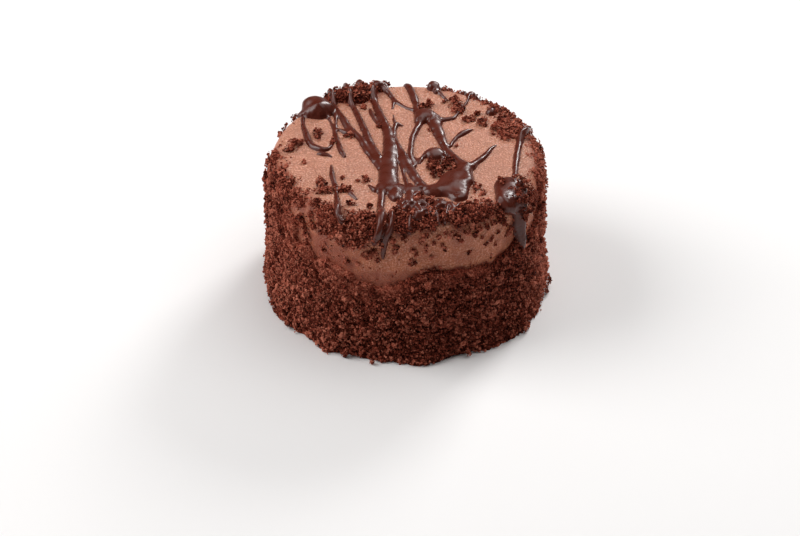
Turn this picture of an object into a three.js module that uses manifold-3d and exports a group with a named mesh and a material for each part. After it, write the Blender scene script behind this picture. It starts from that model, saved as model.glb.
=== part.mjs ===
// An individual chocolate mousse cake: a round block of set mousse, moulded in a ring, with
// cake crumbs pressed onto its side and rim and a drizzle of dark ganache over the top.
// The crumbs and the drizzle stick to the mousse, so the whole dessert is one solid.
//
// Millimetres. The foot stands on z = 0 with the ring's axis on Z, and the front faces -Y.
// Round the axis, angles are in degrees from the front (0) towards the right (+90, +X).
// A place on the skin is a plan point [x, y]: its distance from the axis is measured along
// the skin, out over the top, round the edge and on down the side. The top was levelled by
// hand, so the block is a little taller at the back left.
import * as THREE from "three";
import { mergeVertices } from "three/addons/utils/BufferGeometryUtils.js";
import Module from "manifold-3d";

// Driving dimensions.
const MOUSSE_RADIUS = 39;
const MOUSSE_HEIGHT = 43.5;
const EDGE_ROUNDING = 3.5;
const COAT_AT_RIM = 0.9; // how thick the crumbs lie
const COAT_AT_FOOT = 3;
const FOOT_FLARE = 2.2; // how much more crumbs pile up at the foot
const FLARE_HEIGHT = 4;
const COAT_ROUGHNESS = 1; // how far the coat's surface rises and falls
const SIDE_REACH = 45.4; // the coat's surface stands out no further from the axis
const TOP_REACH = 49.4; // no crumb stands higher than this
const LEAN = 0.034; // share by which the top is higher on one side, towards LEAN_WAY
const LEAN_WAY = [-0.3, 0.95];
const LOWEST_CRUMB = 0.2; // between a loose crumb and the plane of the foot
const SMALLEST_CRUMB = 1.5; // from its middle to its skin
const LARGEST_CRUMB = 2.4;

// How finely the skin is divided.
const SEGMENTS = 84;
const SIDE_ROWS = 12;
const EDGE_ROWS = 3;
const STRAND_SIDES = 5;
const STRAND_STEP = 8; // between the rings of a strand
const UNEVENNESS = 0.3; // share of a spacing by which a crumb or a corner is off its place
const CRUMB_SEED = 43;

// Where the side's mousse shows bare, centred on an angle and a height. Each patch has
// rounded corners, and slope is how far it rises for each degree to the right.
const BARE_PATCHES = [
  { angle: 14, height: 35.6, halfAngle: 36, halfHeight: 7.6, slope: -0.06 },
  { angle: -33, height: 34, halfAngle: 14, halfHeight: 4.4, slope: -0.55 },
  { angle: 65, height: 34.5, halfAngle: 7, halfHeight: 6, slope: 0 },
  { angle: -112, height: 38, halfAngle: 20, halfHeight: 4.5, slope: 0.05 },
  { angle: 178, height: 35, halfAngle: 20, halfHeight: 8, slope: 0.12 },
  { angle: 128, height: 33, halfAngle: 13, halfHeight: 4.5, slope: -0.3 },
];

// Arcs of the rim that carry crumbs, between two angles and two radii. The crumbs are
// about spacing apart.
const RIM_ARCS = [
  { from: -178, to: -144, inner: 31, outer: 39, spacing: 4.8, lift: 1.4 },
  { from: -138, to: -94, inner: 39, outer: 39.5, spacing: 9, lift: 0 },
  { from: 150, to: 170, inner: 37, outer: 39, spacing: 5.4, lift: 0.4 },
  { from: 119, to: 150, inner: 34.5, outer: 39, spacing: 5.4, lift: 0.5 },
  { from: 98, to: 119, inner: 30.5, outer: 39, spacing: 5.4, lift: 0.5 },
  { from: 48, to: 98, inner: 37.5, outer: 39.5, spacing: 5.4, lift: 0.3 },
  { from: -6, to: 46, inner: 28.5, outer: 39.5, spacing: 5.8, lift: 0.6 },
  { from: -42, to: -6, inner: 34.5, outer: 39.5, spacing: 5.8, lift: 0.3 },
  { from: -92, to: -42, inner: 35.5, outer: 39.5, spacing: 5.4, lift: 0.4 },
];

// Loose clumps of crumbs on the top: plan x, plan y and reach.
const TOP_CLUMPS = [
  [-25.7, 8, 2.5],
  [-31.7, 3, 2.9],
  [-34, -0.6, 1.7],
  [-23.7, -18.5, 2.9],
  [-22.3, -22.3, 1.9],
  [-18.2, -19.8, 1.8],
  [-11.3, -16.2, 1.7],
  [-32, -17.4, 2.1],
  [4.6, 22.7, 1.9],
  [7.3, 24.8, 1.8],
  [15.1, 26.6, 2.8],
  [16.5, 21.6, 1.8],
  [18.6, 17, 1.6],
  [23.1, 15, 2.1],
  [26.3, 11.3, 2],
  [29.4, 6.8, 1.8],
  [8.2, -8.3, 2.5],
  [12.2, -7.3, 2.4],
  [9.4, -12.3, 2],
  [20.2, -20.6, 1.9],
  [26.4, -17.8, 1.5],
  [34.2, -17.6, 1.8],
];

// Crumbs that fell against the foot: angle, height, lift off the mousse and reach.
const FOOT_CRUMBS = [
  [80, 6, 4.6, 2.3],
  [70, 2.3, 4.8, 2.3],
  [42, 2, 5, 2.4],
  [-33, 2, 5, 2.4],
  [-150, 2, 4.8, 2.3],
  [165, 2.2, 4.8, 2.3],
  [2, 2, 3.6, 2.2],
];

// Ganache strands: where each starts and ends, how far its middle bows out to the left of
// the way it runs, and how wide it is at the start, the middle and the end.
const STRANDS = [
  { from: [-30.3, 18], to: [-23.8, -0.5], bow: -2.2, width: [1.6, 2, 1.8] },
  { from: [-23.8, -0.5], to: [-23, 18.5], bow: -2.5, width: [1.5, 1.1, 1.2] },
  { from: [-21.2, 21], to: [-17.5, -4], bow: -1, width: [1.3, 1.1, 1.6] },
  { from: [-22.5, 31.5], to: [-16.9, 12.2], bow: -0.8, width: [1.1, 1.4, 2.3] },
  { from: [-16.9, 12.2], to: [-6.5, -11], bow: 0.5, width: [2.3, 2.3, 2.8] },
  { from: [-20.3, 11], to: [-15, 8.8], bow: 0, width: [1.2, 2.1, 2] },
  { from: [-17.9, 33.4], to: [-7.5, -7], bow: 0, width: [1.2, 2, 2.9] },
  { from: [-10.7, 22.3], to: [-7.8, 13.3], bow: -0.2, width: [1, 1.2, 1.2] },
  { from: [-9.7, 31], to: [-4.6, -20], bow: 2.3, width: [1.9, 3.5, 5.8] },
  { from: [-6, 33.5], to: [2.6, 21.5], bow: -1.3, width: [1.6, 1.4, 1.2] },
  { from: [-2.8, 13.4], to: [5, -19.6], bow: -1.9, width: [1.7, 2.2, 2.9] },
  { from: [0.1, 37.8], to: [3.8, 19.5], bow: 0.8, width: [2, 2.3, 2.4] },
  { from: [4.8, 16.5], to: [2.3, -8.3], bow: -1.7, width: [2.5, 1.7, 1.9] },
  { from: [8.5, 16.7], to: [16.4, -8.4], bow: -1.6, width: [4.1, 2.8, 3.4] },
  { from: [10, 16], to: [16.2, 22], bow: -1.6, width: [1.8, 1.5, 1.2] },
  { from: [16, 22], to: [19.6, 31.7], bow: -0.3, width: [1, 0.9, 0.9] },
  { from: [12.9, 1.9], to: [19.8, 11.1], bow: 1.1, width: [1.3, 1.8, 1.1] },
  { from: [18, -9.5], to: [26.3, 2.5], bow: -0.3, width: [3, 2, 1] },
  { from: [36.2, 11], to: [30.9, -13.5], bow: -1.2, width: [1.4, 1.9, 1.7] },
  { from: [-21.2, -8.7], to: [-17, -35], bow: -0.2, width: [1, 1.4, 1.2] },
  { from: [-10.4, -18.8], to: [-6.5, -21], bow: -0.7, width: [0.9, 1.4, 2.2] },
  { from: [-6.7, -19.7], to: [-9.4, -42.1], bow: 1.2, width: [2.4, 2, 1.8] },
  { from: [-3.9, -33.8], to: [-7.6, -46.9], bow: 0.3, width: [1, 1.6, 1.3] },
  { from: [1.3, -18.5], to: [1.2, -29.5], bow: -0.2, width: [1.8, 2.3, 1.8] },
  { from: [2.2, -26.8], to: [4.1, -34], bow: 0, width: [1.1, 1.3, 1.2] },
  { from: [31, -22], to: [43.6, -32.4], bow: -0.7, width: [4.6, 4.6, 1.6] },
];

// Ganache that lies in drops and pools: plan place, half widths, height and turn.
const DROPS = [
  { x: -26.5, y: 21.2, across: 5, along: 5.2, height: 4, turn: 0 },
  { x: 6.5, y: 17.8, across: 4, along: 3.3, height: 1.9, turn: 0 },
  { x: 8.4, y: -2.5, across: 3.1, along: 2.8, height: 1.8, turn: 0 },
  { x: 16.3, y: -13.5, across: 3, along: 9.5, height: 2, turn: 8 },
  { x: 13, y: -20.5, across: 6, along: 4.6, height: 2, turn: 0 },
  { x: -0.5, y: -20.5, across: 8.5, along: 2.4, height: 1.5, turn: 0 },
  { x: 30, y: -17.8, across: 4.7, along: 4.6, height: 2.8, turn: 0 },
  { x: 29, y: -24.6, across: 4, along: 4.4, height: 2.5, turn: 0 },
];
const STRAND_HEIGHT = 0.62; // of its width
const TAPER_LENGTH = 0.12; // share of a strand over which an end narrows
const END_WIDTH = 0.35; // of the strand's own
const SINK = 0.13; // how far the middle of a strand or a drop lies below the skin

// Slot colours.
const MOUSSE_BROWN = 0x9a5f48;

// A repeatable draw from 0 to 1.
function makeDraw(seed) {
  let state = seed;
  return () => {
    state = (Math.imul(state, 1664525) + 1013904223) >>> 0;
    return state / 4294967296;
  };
}
const draw = makeDraw(CRUMB_SEED);
const spread = (reach) => (draw() * 2 - 1) * reach;

const flatReach = MOUSSE_RADIUS - EDGE_ROUNDING;
const edgeLength = (EDGE_ROUNDING * Math.PI) / 2;

// The mousse's outline at a distance along the skin from the middle of the top.
function profileAt(distance) {
  if (distance <= flatReach) return { radius: distance, z: MOUSSE_HEIGHT, tilt: 0 };
  const past = distance - flatReach;
  if (past < edgeLength) {
    const tilt = past / EDGE_ROUNDING;
    return {
      radius: flatReach + EDGE_ROUNDING * Math.sin(tilt),
      z: MOUSSE_HEIGHT - EDGE_ROUNDING * (1 - Math.cos(tilt)),
      tilt,
    };
  }
  return {
    radius: MOUSSE_RADIUS,
    z: MOUSSE_HEIGHT - EDGE_ROUNDING - (past - edgeLength),
    tilt: Math.PI / 2,
  };
}

// The height of a point at z on an upright block, once the block leans.
function leaned(x, y, z) {
  const towards = (x * LEAN_WAY[0] + y * LEAN_WAY[1]) / (2 * MOUSSE_RADIUS);
  return z * (1 + LEAN * (0.5 + towards));
}

// The point that stands lift clear of the skin over a plan point.
function overSkin(x, y, lift) {
  const distance = Math.hypot(x, y);
  const { radius, z, tilt } = profileAt(distance);
  const out = radius + lift * Math.sin(tilt);
  const [ux, uy] = distance > 1e-6 ? [x / distance, y / distance] : [1, 0];
  const height = leaned(ux * out, uy * out, z + lift * Math.cos(tilt));
  return new THREE.Vector3(ux * out, uy * out, height);
}

// 1 where crumbs cover the side and 0 where the mousse is bare.
function coatShare(angle, height) {
  let share = 1;
  for (const patch of BARE_PATCHES) {
    let turn = angle - patch.angle;
    turn -= 360 * Math.round(turn / 360);
    const u = turn / patch.halfAngle;
    const v = (height - patch.height - patch.slope * turn) / patch.halfHeight;
    const edge = Math.pow(u * u * u * u + v * v * v * v, 0.25);
    share = Math.min(share, THREE.MathUtils.smoothstep(edge, 0.88, 1.08));
  }
  return share;
}

function coatThickness(height) {
  const down = THREE.MathUtils.clamp(1 - height / MOUSSE_HEIGHT, 0, 1);
  const flare = FOOT_FLARE * Math.exp(-height / FLARE_HEIGHT);
  return THREE.MathUtils.lerp(COAT_AT_RIM, COAT_AT_FOOT, Math.pow(down, 0.85)) + flare;
}

// A geometry's triangles with its seams closed, as a solid that can be joined.
function closed(geometry) {
  const bare = geometry.clone();
  for (const name of Object.keys(bare.attributes)) {
    if (name !== "position") bare.deleteAttribute(name);
  }
  return mergeVertices(bare, 1e-4);
}

const wasm = await Module();
wasm.setup();

function solidOf(geometry) {
  const whole = closed(geometry);
  return new wasm.Manifold(
    new wasm.Mesh({
      numProp: 3,
      vertProperties: new Float32Array(whole.attributes.position.array),
      triVerts: new Uint32Array(whole.index.array),
    }),
  );
}

// The mousse block with the crumb coat as relief on its side.
function coatedBlock() {
  const outline = [new THREE.Vector2(0, 0)];
  for (let row = 0; row <= SIDE_ROWS; row++) {
    const z = ((MOUSSE_HEIGHT - EDGE_ROUNDING) * row) / SIDE_ROWS;
    outline.push(new THREE.Vector2(MOUSSE_RADIUS, z));
  }
  for (let row = 1; row <= EDGE_ROWS; row++) {
    const { radius, z } = profileAt(flatReach + edgeLength * (1 - row / EDGE_ROWS));
    outline.push(new THREE.Vector2(radius, z));
  }
  outline.push(new THREE.Vector2(0, MOUSSE_HEIGHT));
  const turned = new THREE.LatheGeometry(outline, SEGMENTS);
  turned.rotateX(Math.PI / 2);
  const block = closed(turned);
  const place = block.attributes.position;
  const rowHeight = (MOUSSE_HEIGHT - EDGE_ROUNDING) / SIDE_ROWS;
  const columnAngle = 360 / SEGMENTS;
  for (let i = 0; i < place.count; i++) {
    const [x, y, z] = [place.getX(i), place.getY(i), place.getZ(i)];
    const radius = Math.hypot(x, y);
    const angle = THREE.MathUtils.radToDeg(Math.atan2(x, -y));
    const share = coatShare(angle, z);
    place.setZ(i, leaned(x, y, z));
    if (share < 0.05 || radius < 1 || z > MOUSSE_HEIGHT - 0.01) continue;
    const rough = spread(COAT_ROUGHNESS);
    const out = Math.min(radius + share * (coatThickness(z) + rough), SIDE_REACH);
    const turn = THREE.MathUtils.degToRad(angle + share * spread(columnAngle * UNEVENNESS));
    const onFoot = z < 0.01;
    const shift = onFoot ? 0 : share * spread(rowHeight * UNEVENNESS);
    const [outX, outY] = [out * Math.sin(turn), -out * Math.cos(turn)];
    place.setXYZ(i, outX, outY, leaned(outX, outY, z + shift));
  }
  return solidOf(block);
}

// One irregular crumb round a point.
function crumb(middle, reach) {
  const lump = closed(new THREE.IcosahedronGeometry(reach, 0));
  lump.rotateX(draw() * Math.PI);
  lump.rotateZ(draw() * Math.PI);
  const place = lump.attributes.position;
  for (let i = 0; i < place.count; i++) {
    const corner = new THREE.Vector3().fromBufferAttribute(place, i);
    corner.multiplyScalar(0.8 + 0.4 * draw()).add(middle);
    corner.z = THREE.MathUtils.clamp(corner.z, LOWEST_CRUMB, TOP_REACH);
    place.setXYZ(i, corner.x, corner.y, corner.z);
  }
  return solidOf(lump);
}

// A clump wider than a crumb is two crumbs side by side.
function topClumps() {
  return TOP_CLUMPS.flatMap(([x, y, reach]) => {
    const turn = draw() * Math.PI;
    const single = reach < LARGEST_CRUMB;
    const size = single ? reach : reach * 0.7;
    const off = single ? 0 : reach * 0.45;
    const sides = single ? [1] : [1, -1];
    return sides.map((side) => {
      const [dx, dy] = [side * off * Math.cos(turn), side * off * Math.sin(turn)];
      return crumb(overSkin(x + dx, y + dy, size * 0.35), size);
    });
  });
}

function footCrumbs() {
  return FOOT_CRUMBS.map(([angle, height, lift, reach]) => {
    const distance = flatReach + edgeLength + MOUSSE_HEIGHT - EDGE_ROUNDING - height;
    const turn = THREE.MathUtils.degToRad(angle);
    return crumb(overSkin(distance * Math.sin(turn), -distance * Math.cos(turn), lift), reach);
  });
}

function rimCrumbs() {
  const made = [];
  for (const arc of RIM_ARCS) {
    const rows = Math.max(1, Math.round((arc.outer - arc.inner) / arc.spacing));
    for (let row = 0; row <= rows; row++) {
      const radius = THREE.MathUtils.lerp(arc.inner, arc.outer, row / rows);
      const length = (radius * THREE.MathUtils.degToRad(arc.to - arc.from)) / arc.spacing;
      const count = Math.max(1, Math.round(length));
      for (let k = 0; k < count; k++) {
        const share = (k + 0.5 + spread(UNEVENNESS)) / count;
        const angle = THREE.MathUtils.degToRad(THREE.MathUtils.lerp(arc.from, arc.to, share));
        const distance = radius + spread(arc.spacing * UNEVENNESS);
        const size = THREE.MathUtils.lerp(SMALLEST_CRUMB, LARGEST_CRUMB, draw());
        const lift = size * 0.2 + draw() * arc.lift;
        const middle = overSkin(distance * Math.sin(angle), -distance * Math.cos(angle), lift);
        made.push(crumb(middle, size));
      }
    }
  }
  return made;
}

// A rounded strand of ganache, with its lower half in the mousse.
function strand({ from, to, bow, width }) {
  const start = new THREE.Vector3(from[0], from[1], 0);
  const end = new THREE.Vector3(to[0], to[1], 0);
  const run = end.clone().sub(start).normalize();
  const middle = start.clone().lerp(end, 0.5);
  const bend = middle.add(new THREE.Vector3(-run.y, run.x, 0).multiplyScalar(2 * bow));
  const route = new THREE.QuadraticBezierCurve3(start, bend, end);
  const steps = Math.max(2, Math.round(route.getLength() / STRAND_STEP));
  const tube = new THREE.CylinderGeometry(1, 1, 1, STRAND_SIDES, steps);
  const place = tube.attributes.position;
  for (let i = 0; i < place.count; i++) {
    const along = place.getY(i) + 0.5;
    const here = route.getPointAt(THREE.MathUtils.clamp(along, 0, 1));
    const ahead = route.getTangentAt(THREE.MathUtils.clamp(along, 0, 1));
    const half = along < 0.5 ? 0 : 1;
    const wide = THREE.MathUtils.lerp(width[half], width[half + 1], along * 2 - half);
    const fromEnd = Math.min(along, 1 - along) / TAPER_LENGTH;
    const taper = THREE.MathUtils.lerp(END_WIDTH, 1, Math.sqrt(Math.min(1, fromEnd)));
    const reach = (wide / 2) * taper;
    const aside = -place.getX(i) * reach;
    const lift = place.getZ(i) * reach * 2 * STRAND_HEIGHT - SINK;
    const point = overSkin(here.x - ahead.y * aside, here.y + ahead.x * aside, lift);
    place.setXYZ(i, point.x, point.y, point.z);
  }
  return solidOf(tube);
}

// A drop or pool of ganache: a flattened ball with its lower half in the mousse.
function drop({ x, y, across, along, height, turn }) {
  const dome = new THREE.IcosahedronGeometry(1, 1);
  const place = dome.attributes.position;
  const angle = THREE.MathUtils.degToRad(turn);
  for (let i = 0; i < place.count; i++) {
    const u = place.getX(i) * across;
    const v = place.getY(i) * along;
    const planX = x + u * Math.cos(angle) - v * Math.sin(angle);
    const planY = y + u * Math.sin(angle) + v * Math.cos(angle);
    const point = overSkin(planX, planY, height * place.getZ(i) - SINK);
    place.setXYZ(i, point.x, point.y, point.z);
  }
  return solidOf(dome);
}

// One body of them all, with hollows closed between the crumbs filled in.
function joined(solids) {
  const whole = solids.reduce((sum, piece) => sum.add(piece));
  const shells = whole.decompose().sort((a, b) => b.volume() - a.volume());
  return shells[0];
}

function geometryOf(solid) {
  const { numProp, vertProperties, triVerts } = solid.getMesh();
  const points = new Float32Array((vertProperties.length / numProp) * 3);
  for (let i = 0; i < points.length / 3; i++) {
    points.set(vertProperties.subarray(i * numProp, i * numProp + 3), i * 3);
  }
  const geometry = new THREE.BufferGeometry();
  geometry.setAttribute("position", new THREE.BufferAttribute(points, 3));
  geometry.setIndex(new THREE.BufferAttribute(triVerts, 1));
  geometry.computeVertexNormals();
  return geometry;
}

const cake = new THREE.Mesh(
  geometryOf(
    joined([
      coatedBlock(),
      ...rimCrumbs(),
      ...topClumps(),
      ...footCrumbs(),
      ...STRANDS.map(strand),
      ...DROPS.map(drop),
    ]),
  ),
  new THREE.MeshStandardMaterial({ color: MOUSSE_BROWN, roughness: 0.75, metalness: 0 }),
);
cake.name = "mousse_cake";

const dessert = new THREE.Group();
dessert.add(cake);

export default dessert;
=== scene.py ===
"""A chocolate mousse cake: set mousse, a pressed coat of cake crumbs and a ganache drizzle.

Sizes are millimetres until a mesh is made, and a mesh is in metres. The foot stands on z = 0
with the axis on Z, and the front faces -Y. Angles round the axis are degrees from the front,
growing towards the right (+X). A place on the skin is a plan point (x, y): its distance from
the axis is measured along the skin, over the top, round the rim and on down the side.
"""

import logging
import math
from dataclasses import dataclass
from enum import Enum
from itertools import product

import bmesh
import bpy
import numpy as np
from mathutils import Matrix, Vector


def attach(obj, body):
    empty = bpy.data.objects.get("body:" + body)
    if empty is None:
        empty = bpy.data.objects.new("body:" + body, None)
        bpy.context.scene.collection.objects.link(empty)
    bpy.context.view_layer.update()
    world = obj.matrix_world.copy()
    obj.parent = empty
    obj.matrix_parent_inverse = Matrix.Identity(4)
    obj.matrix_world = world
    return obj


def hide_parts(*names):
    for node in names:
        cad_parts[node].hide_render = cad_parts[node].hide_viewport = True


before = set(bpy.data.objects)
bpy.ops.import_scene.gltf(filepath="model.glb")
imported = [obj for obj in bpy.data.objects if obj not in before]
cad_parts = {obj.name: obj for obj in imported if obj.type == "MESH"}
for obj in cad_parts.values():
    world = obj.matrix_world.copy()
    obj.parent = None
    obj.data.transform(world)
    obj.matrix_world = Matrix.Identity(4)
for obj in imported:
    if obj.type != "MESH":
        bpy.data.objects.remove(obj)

MM = 0.001  # a millimetre in metres
BODY = "root"
CAKE_NODE = "mousse_cake"
SEED = 11
LATTICE = 32  # cells after which the noise repeats
LUMP_LEVEL = 0.62  # about what lumps gives on average
TINY = 1e-6  # keeps a division from nought

Rows = tuple[tuple[float, ...], ...]
Place = tuple[float, float, float]
Sockets = dict[str | int, object]

log = logging.getLogger("mousse_cake")


# ---------------------------------------------------------------------------- helpers


def linear(hex_code: str) -> tuple[float, float, float, float]:
    """Turns an sRGB hex colour into the linear colour that Blender's sockets take.

    Args:
        hex_code: Six hex digits, such as "9a5f48".

    Returns:
        Red, green, blue and an alpha of 1.
    """
    parts = [int(hex_code[i : i + 2], 16) / 255 for i in (0, 2, 4)]
    curve = [c / 12.92 if c <= 0.04045 else ((c + 0.055) / 1.055) ** 2.4 for c in parts]
    return (*curve, 1.0)


def plug(tree: bpy.types.NodeTree, node: bpy.types.Node, sockets: Sockets) -> None:
    """Fills a shader node's inputs.

    Args:
        tree: The material's node tree.
        node: The node.
        sockets: Input names or numbers, each with a value or with the output that feeds it.
    """
    for name, value in sockets.items():
        if isinstance(value, bpy.types.NodeSocket):
            tree.links.new(value, node.inputs[name])
        else:
            node.inputs[name].default_value = value


def add_node(
    tree: bpy.types.NodeTree, kind: str, sockets: Sockets | None = None, **settings: object
) -> bpy.types.Node:
    """Adds a shader node with its settings and links.

    Args:
        tree: The material's node tree.
        kind: The node's type name.
        sockets: What its inputs take, as for plug.
        **settings: Properties of the node, such as operation.

    Returns:
        The new node.
    """
    made = tree.nodes.new(kind)
    for name, value in settings.items():
        setattr(made, name, value)
    plug(tree, made, sockets or {})
    return made


def new_material(name: str) -> tuple[bpy.types.Material, bpy.types.NodeTree, bpy.types.Node]:
    """Starts a material, and gives it with its node tree and its shader."""
    made = bpy.data.materials.new(name)
    made.use_nodes = True
    return made, made.node_tree, made.node_tree.nodes["Principled BSDF"]


def per(size: float) -> float:
    """Gives the texture scale whose features are about size millimetres across."""
    return 1.0 / (size * MM)


def ease(low: float, high: float, value: np.ndarray) -> np.ndarray:
    """Rises smoothly from 0 at low to 1 at high."""
    share = np.clip((value - low) / (high - low), 0.0, 1.0)
    return share * share * (3.0 - 2.0 * share)


def cloud(places: np.ndarray, size: float, seed: int) -> np.ndarray:
    """Gives smooth noise from about -1 to 1 at each place.

    Args:
        places: Places in millimetres, one row each.
        size: How far apart the noise's bumps are, in millimetres.
        seed: Which noise it is.

    Returns:
        One value for each place.
    """
    values = np.random.default_rng(seed).uniform(-1.0, 1.0, (LATTICE,) * 3)
    scaled = places / size
    cell = np.floor(scaled).astype(int)
    share = scaled - cell
    share = share * share * (3.0 - 2.0 * share)
    total = np.zeros(len(places))
    for corner in product((0, 1), repeat=3):
        weight = np.where(corner, share, 1.0 - share).prod(axis=1)
        total += weight * values[tuple(((cell + corner) % LATTICE).T)]
    return 1.5 * total


def lumps(places: np.ndarray, size: float, seed: int) -> np.ndarray:
    """Gives packed round lumps: 1 in the middle of each, down to 0 in the cracks.

    Args:
        places: Places in millimetres, one row each.
        size: How far apart the lumps are, in millimetres.
        seed: Which lumps they are.

    Returns:
        One value for each place.
    """
    middles = np.random.default_rng(seed).uniform(0.0, 1.0, (LATTICE,) * 3 + (3,))
    scaled = places / size
    cell = np.floor(scaled).astype(int)
    near = np.full(len(places), 9.0)
    for step in product((-1, 0, 1), repeat=3):
        own = cell + step
        middle = own + middles[tuple((own % LATTICE).T)]
        near = np.minimum(near, ((scaled - middle) ** 2).sum(axis=1))
    return np.clip(1.0 - near, 0.0, 1.0)


@dataclass(frozen=True)
class Noise:
    """Unevenness: how strong it is, how far apart its bumps are in millimetres, and its seed."""

    strength: float
    size: float
    seed: int

    def at(self, places: np.ndarray) -> np.ndarray:
        """Gives smooth unevenness at each place."""
        return self.strength * cloud(places, self.size, self.seed)

    def lumpy(self, places: np.ndarray) -> np.ndarray:
        """Gives the unevenness of packed round lumps at each place."""
        return self.strength * (lumps(places, self.size, self.seed) - LUMP_LEVEL)


def wander(places: np.ndarray, size: float, seed: int) -> np.ndarray:
    """Gives a smooth random step over the plan at each place."""
    return np.column_stack([cloud(places, size, seed), cloud(places, size, seed + 1)])


def laid(plan: np.ndarray) -> np.ndarray:
    """Gives plan points a height of 0, so that noise can be read at them."""
    return np.column_stack([plan, np.zeros(len(plan))])


def from_axis(places: np.ndarray) -> np.ndarray:
    """Gives the distance from the axis of each place or plan point."""
    return np.hypot(places[:, 0], places[:, 1])


def by_angle(rows: Rows, angle: np.ndarray) -> list[np.ndarray]:
    """Reads a table's columns at the angles given. Its first column is the angle."""
    stops, *columns = np.array(rows).T
    return [np.interp(angle, stops, column) for column in columns]


def corners_of(shape: bmesh.types.BMesh) -> np.ndarray:
    """Gives the places of a shape's points, one row each."""
    return np.array([v.co for v in shape.verts])


def move_corners(shape: bmesh.types.BMesh, places: np.ndarray) -> None:
    """Moves a shape's points to new places."""
    for vert, place in zip(shape.verts, places):
        vert.co = place


def linked(name: str, data: bpy.types.ID) -> bpy.types.Object:
    """Puts an object with this data into the scene."""
    made = bpy.data.objects.new(name, data)
    bpy.context.scene.collection.objects.link(made)
    return made


def finish_piece(
    mesh: bpy.types.Mesh, material: bpy.types.Material, smooth: bool
) -> None:
    """Makes an object of a finished mesh and ties it to the frame.

    Args:
        mesh: The piece's mesh, in metres and in place.
        material: What it is made of.
        smooth: Whether its faces are shaded smooth.
    """
    mesh.polygons.foreach_set("use_smooth", [smooth] * len(mesh.polygons))
    mesh.materials.append(material)
    piece = linked(mesh.name, mesh)
    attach(piece, BODY)
    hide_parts(CAKE_NODE)
    mesh.calc_loop_triangles()
    log.info("%s: %d triangles", mesh.name, len(mesh.loop_triangles))


def mesh_of(name: str, shape: bmesh.types.BMesh) -> bpy.types.Mesh:
    """Turns a bmesh in millimetres into a mesh in metres and frees it."""
    bmesh.ops.scale(shape, vec=(MM, MM, MM), verts=shape.verts)
    mesh = bpy.data.meshes.new(name)
    shape.to_mesh(mesh)
    shape.free()
    return mesh


def note(mesh: bpy.types.Mesh, name: str, values: np.ndarray) -> None:
    """Keeps one value for each corner point on the mesh, for its material to read."""
    attribute = mesh.attributes.new(name, "FLOAT", "POINT")
    attribute.data.foreach_set("value", values.astype(np.float32))


# ---------------------------------------------------------------------------- finishes


@dataclass(frozen=True)
class SetMousse:
    """Chilled chocolate mousse, moulded in a ring: matt, soft, with burst air bubbles."""

    # The top's colour is greyer than the side's, a painted sheen on the flat top.
    top: str = "b6775d"
    side: str = "c26f4b"
    # The pale colour of a painted glint, laid where the grain stands up.
    painted_light: str = "e6bfae"
    rubbed: str = "9a4f38"
    roughness: float = 0.42
    drift: float = 7.0  # the size of its paler and darker patches
    bubble: float = 0.5  # drawn coarser than the real 0.3 mm so that it shows

    def material(self) -> bpy.types.Material:
        """Builds the mousse's material.

        Returns:
            The material. Fat and cream let a little light in, which softens its shadows. The
            skin is grainy with burst bubbles, and moist, so the grain glints under the lamps. Where
            the grain stands up it is also painted paler, a painted glint. The top is painted greyer
            than the side, a painted sheen of the lamps' gloss on the flat top. Where crumbs were
            rubbed in, it is darker.
        """
        made, tree, shader = new_material("set_chocolate_mousse")
        place = add_node(tree, "ShaderNodeTexCoord").outputs["Object"]
        levelled, crumbed = (
            add_node(tree, "ShaderNodeAttribute", attribute_name=name).outputs["Fac"]
            for name in ("levelled", "crumbed")
        )
        drift, grain = (
            add_node(
                tree, "ShaderNodeTexNoise", {"Vector": place, "Scale": per(size), "Detail": detail}
            ).outputs[0]
            for size, detail in ((self.drift, 3.0), (self.bubble, 5.0))
        )
        # Each turns a noise between low and high into a value between least and most.
        patchy, speck, stands = (
            add_node(
                tree,
                "ShaderNodeMapRange",
                {"Value": noise, "From Min": low, "From Max": high, "To Min": least, "To Max": most},
            ).outputs[0]
            for noise, low, high, least, most in (
                (drift, 0.3, 0.7, 0.92, 1.07),
                (grain, 0.36, 0.64, 0.82, 1.18),
                # Where the grain stands up most: the share of the painted glint.
                (grain, 0.5, 0.68, 0.0, 0.4),
            )
        )
        # The top is painted in its greyer colour, a painted sheen.
        top_painted_sheen = {0: levelled, 6: linear(self.side), 7: linear(self.top)}
        body = add_node(tree, "ShaderNodeMix", top_painted_sheen, data_type="RGBA").outputs[2]
        # A painted glint: the grain's peaks are painted towards the pale colour.
        glints = {0: stands, 6: body, 7: linear(self.painted_light)}
        toned = add_node(tree, "ShaderNodeMix", glints, data_type="RGBA").outputs[2]
        for tone in (speck, patchy):
            scaled = {0: toned, 3: tone}
            toned = add_node(tree, "ShaderNodeVectorMath", scaled, operation="SCALE").outputs[0]
        worked = add_node(
            tree, "ShaderNodeMath", {0: grain, 1: 0.5, 2: crumbed}, operation="MULTIPLY_ADD"
        ).outputs[0]
        share = add_node(
            tree, "ShaderNodeMapRange", {"Value": worked, "From Min": 0.3, "From Max": 0.95}
        ).outputs[0]
        stains = {0: share, 6: toned, 7: linear(self.rubbed)}
        coloured = add_node(tree, "ShaderNodeMix", stains, data_type="RGBA")
        bump = add_node(
            tree, "ShaderNodeBump", {"Strength": 1.0, "Distance": self.bubble * MM, "Height": grain}
        )
        dressing = {
            "Base Color": coloured.outputs[2],
            "Normal": bump.outputs[0],
            "Roughness": self.roughness,
            "IOR": 1.45,
            "Subsurface Weight": 0.2,
            "Subsurface Radius": (1.0, 0.4, 0.25),
            "Subsurface Scale": 1.0 * MM,
        }
        plug(tree, shader, dressing)
        return made


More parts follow.
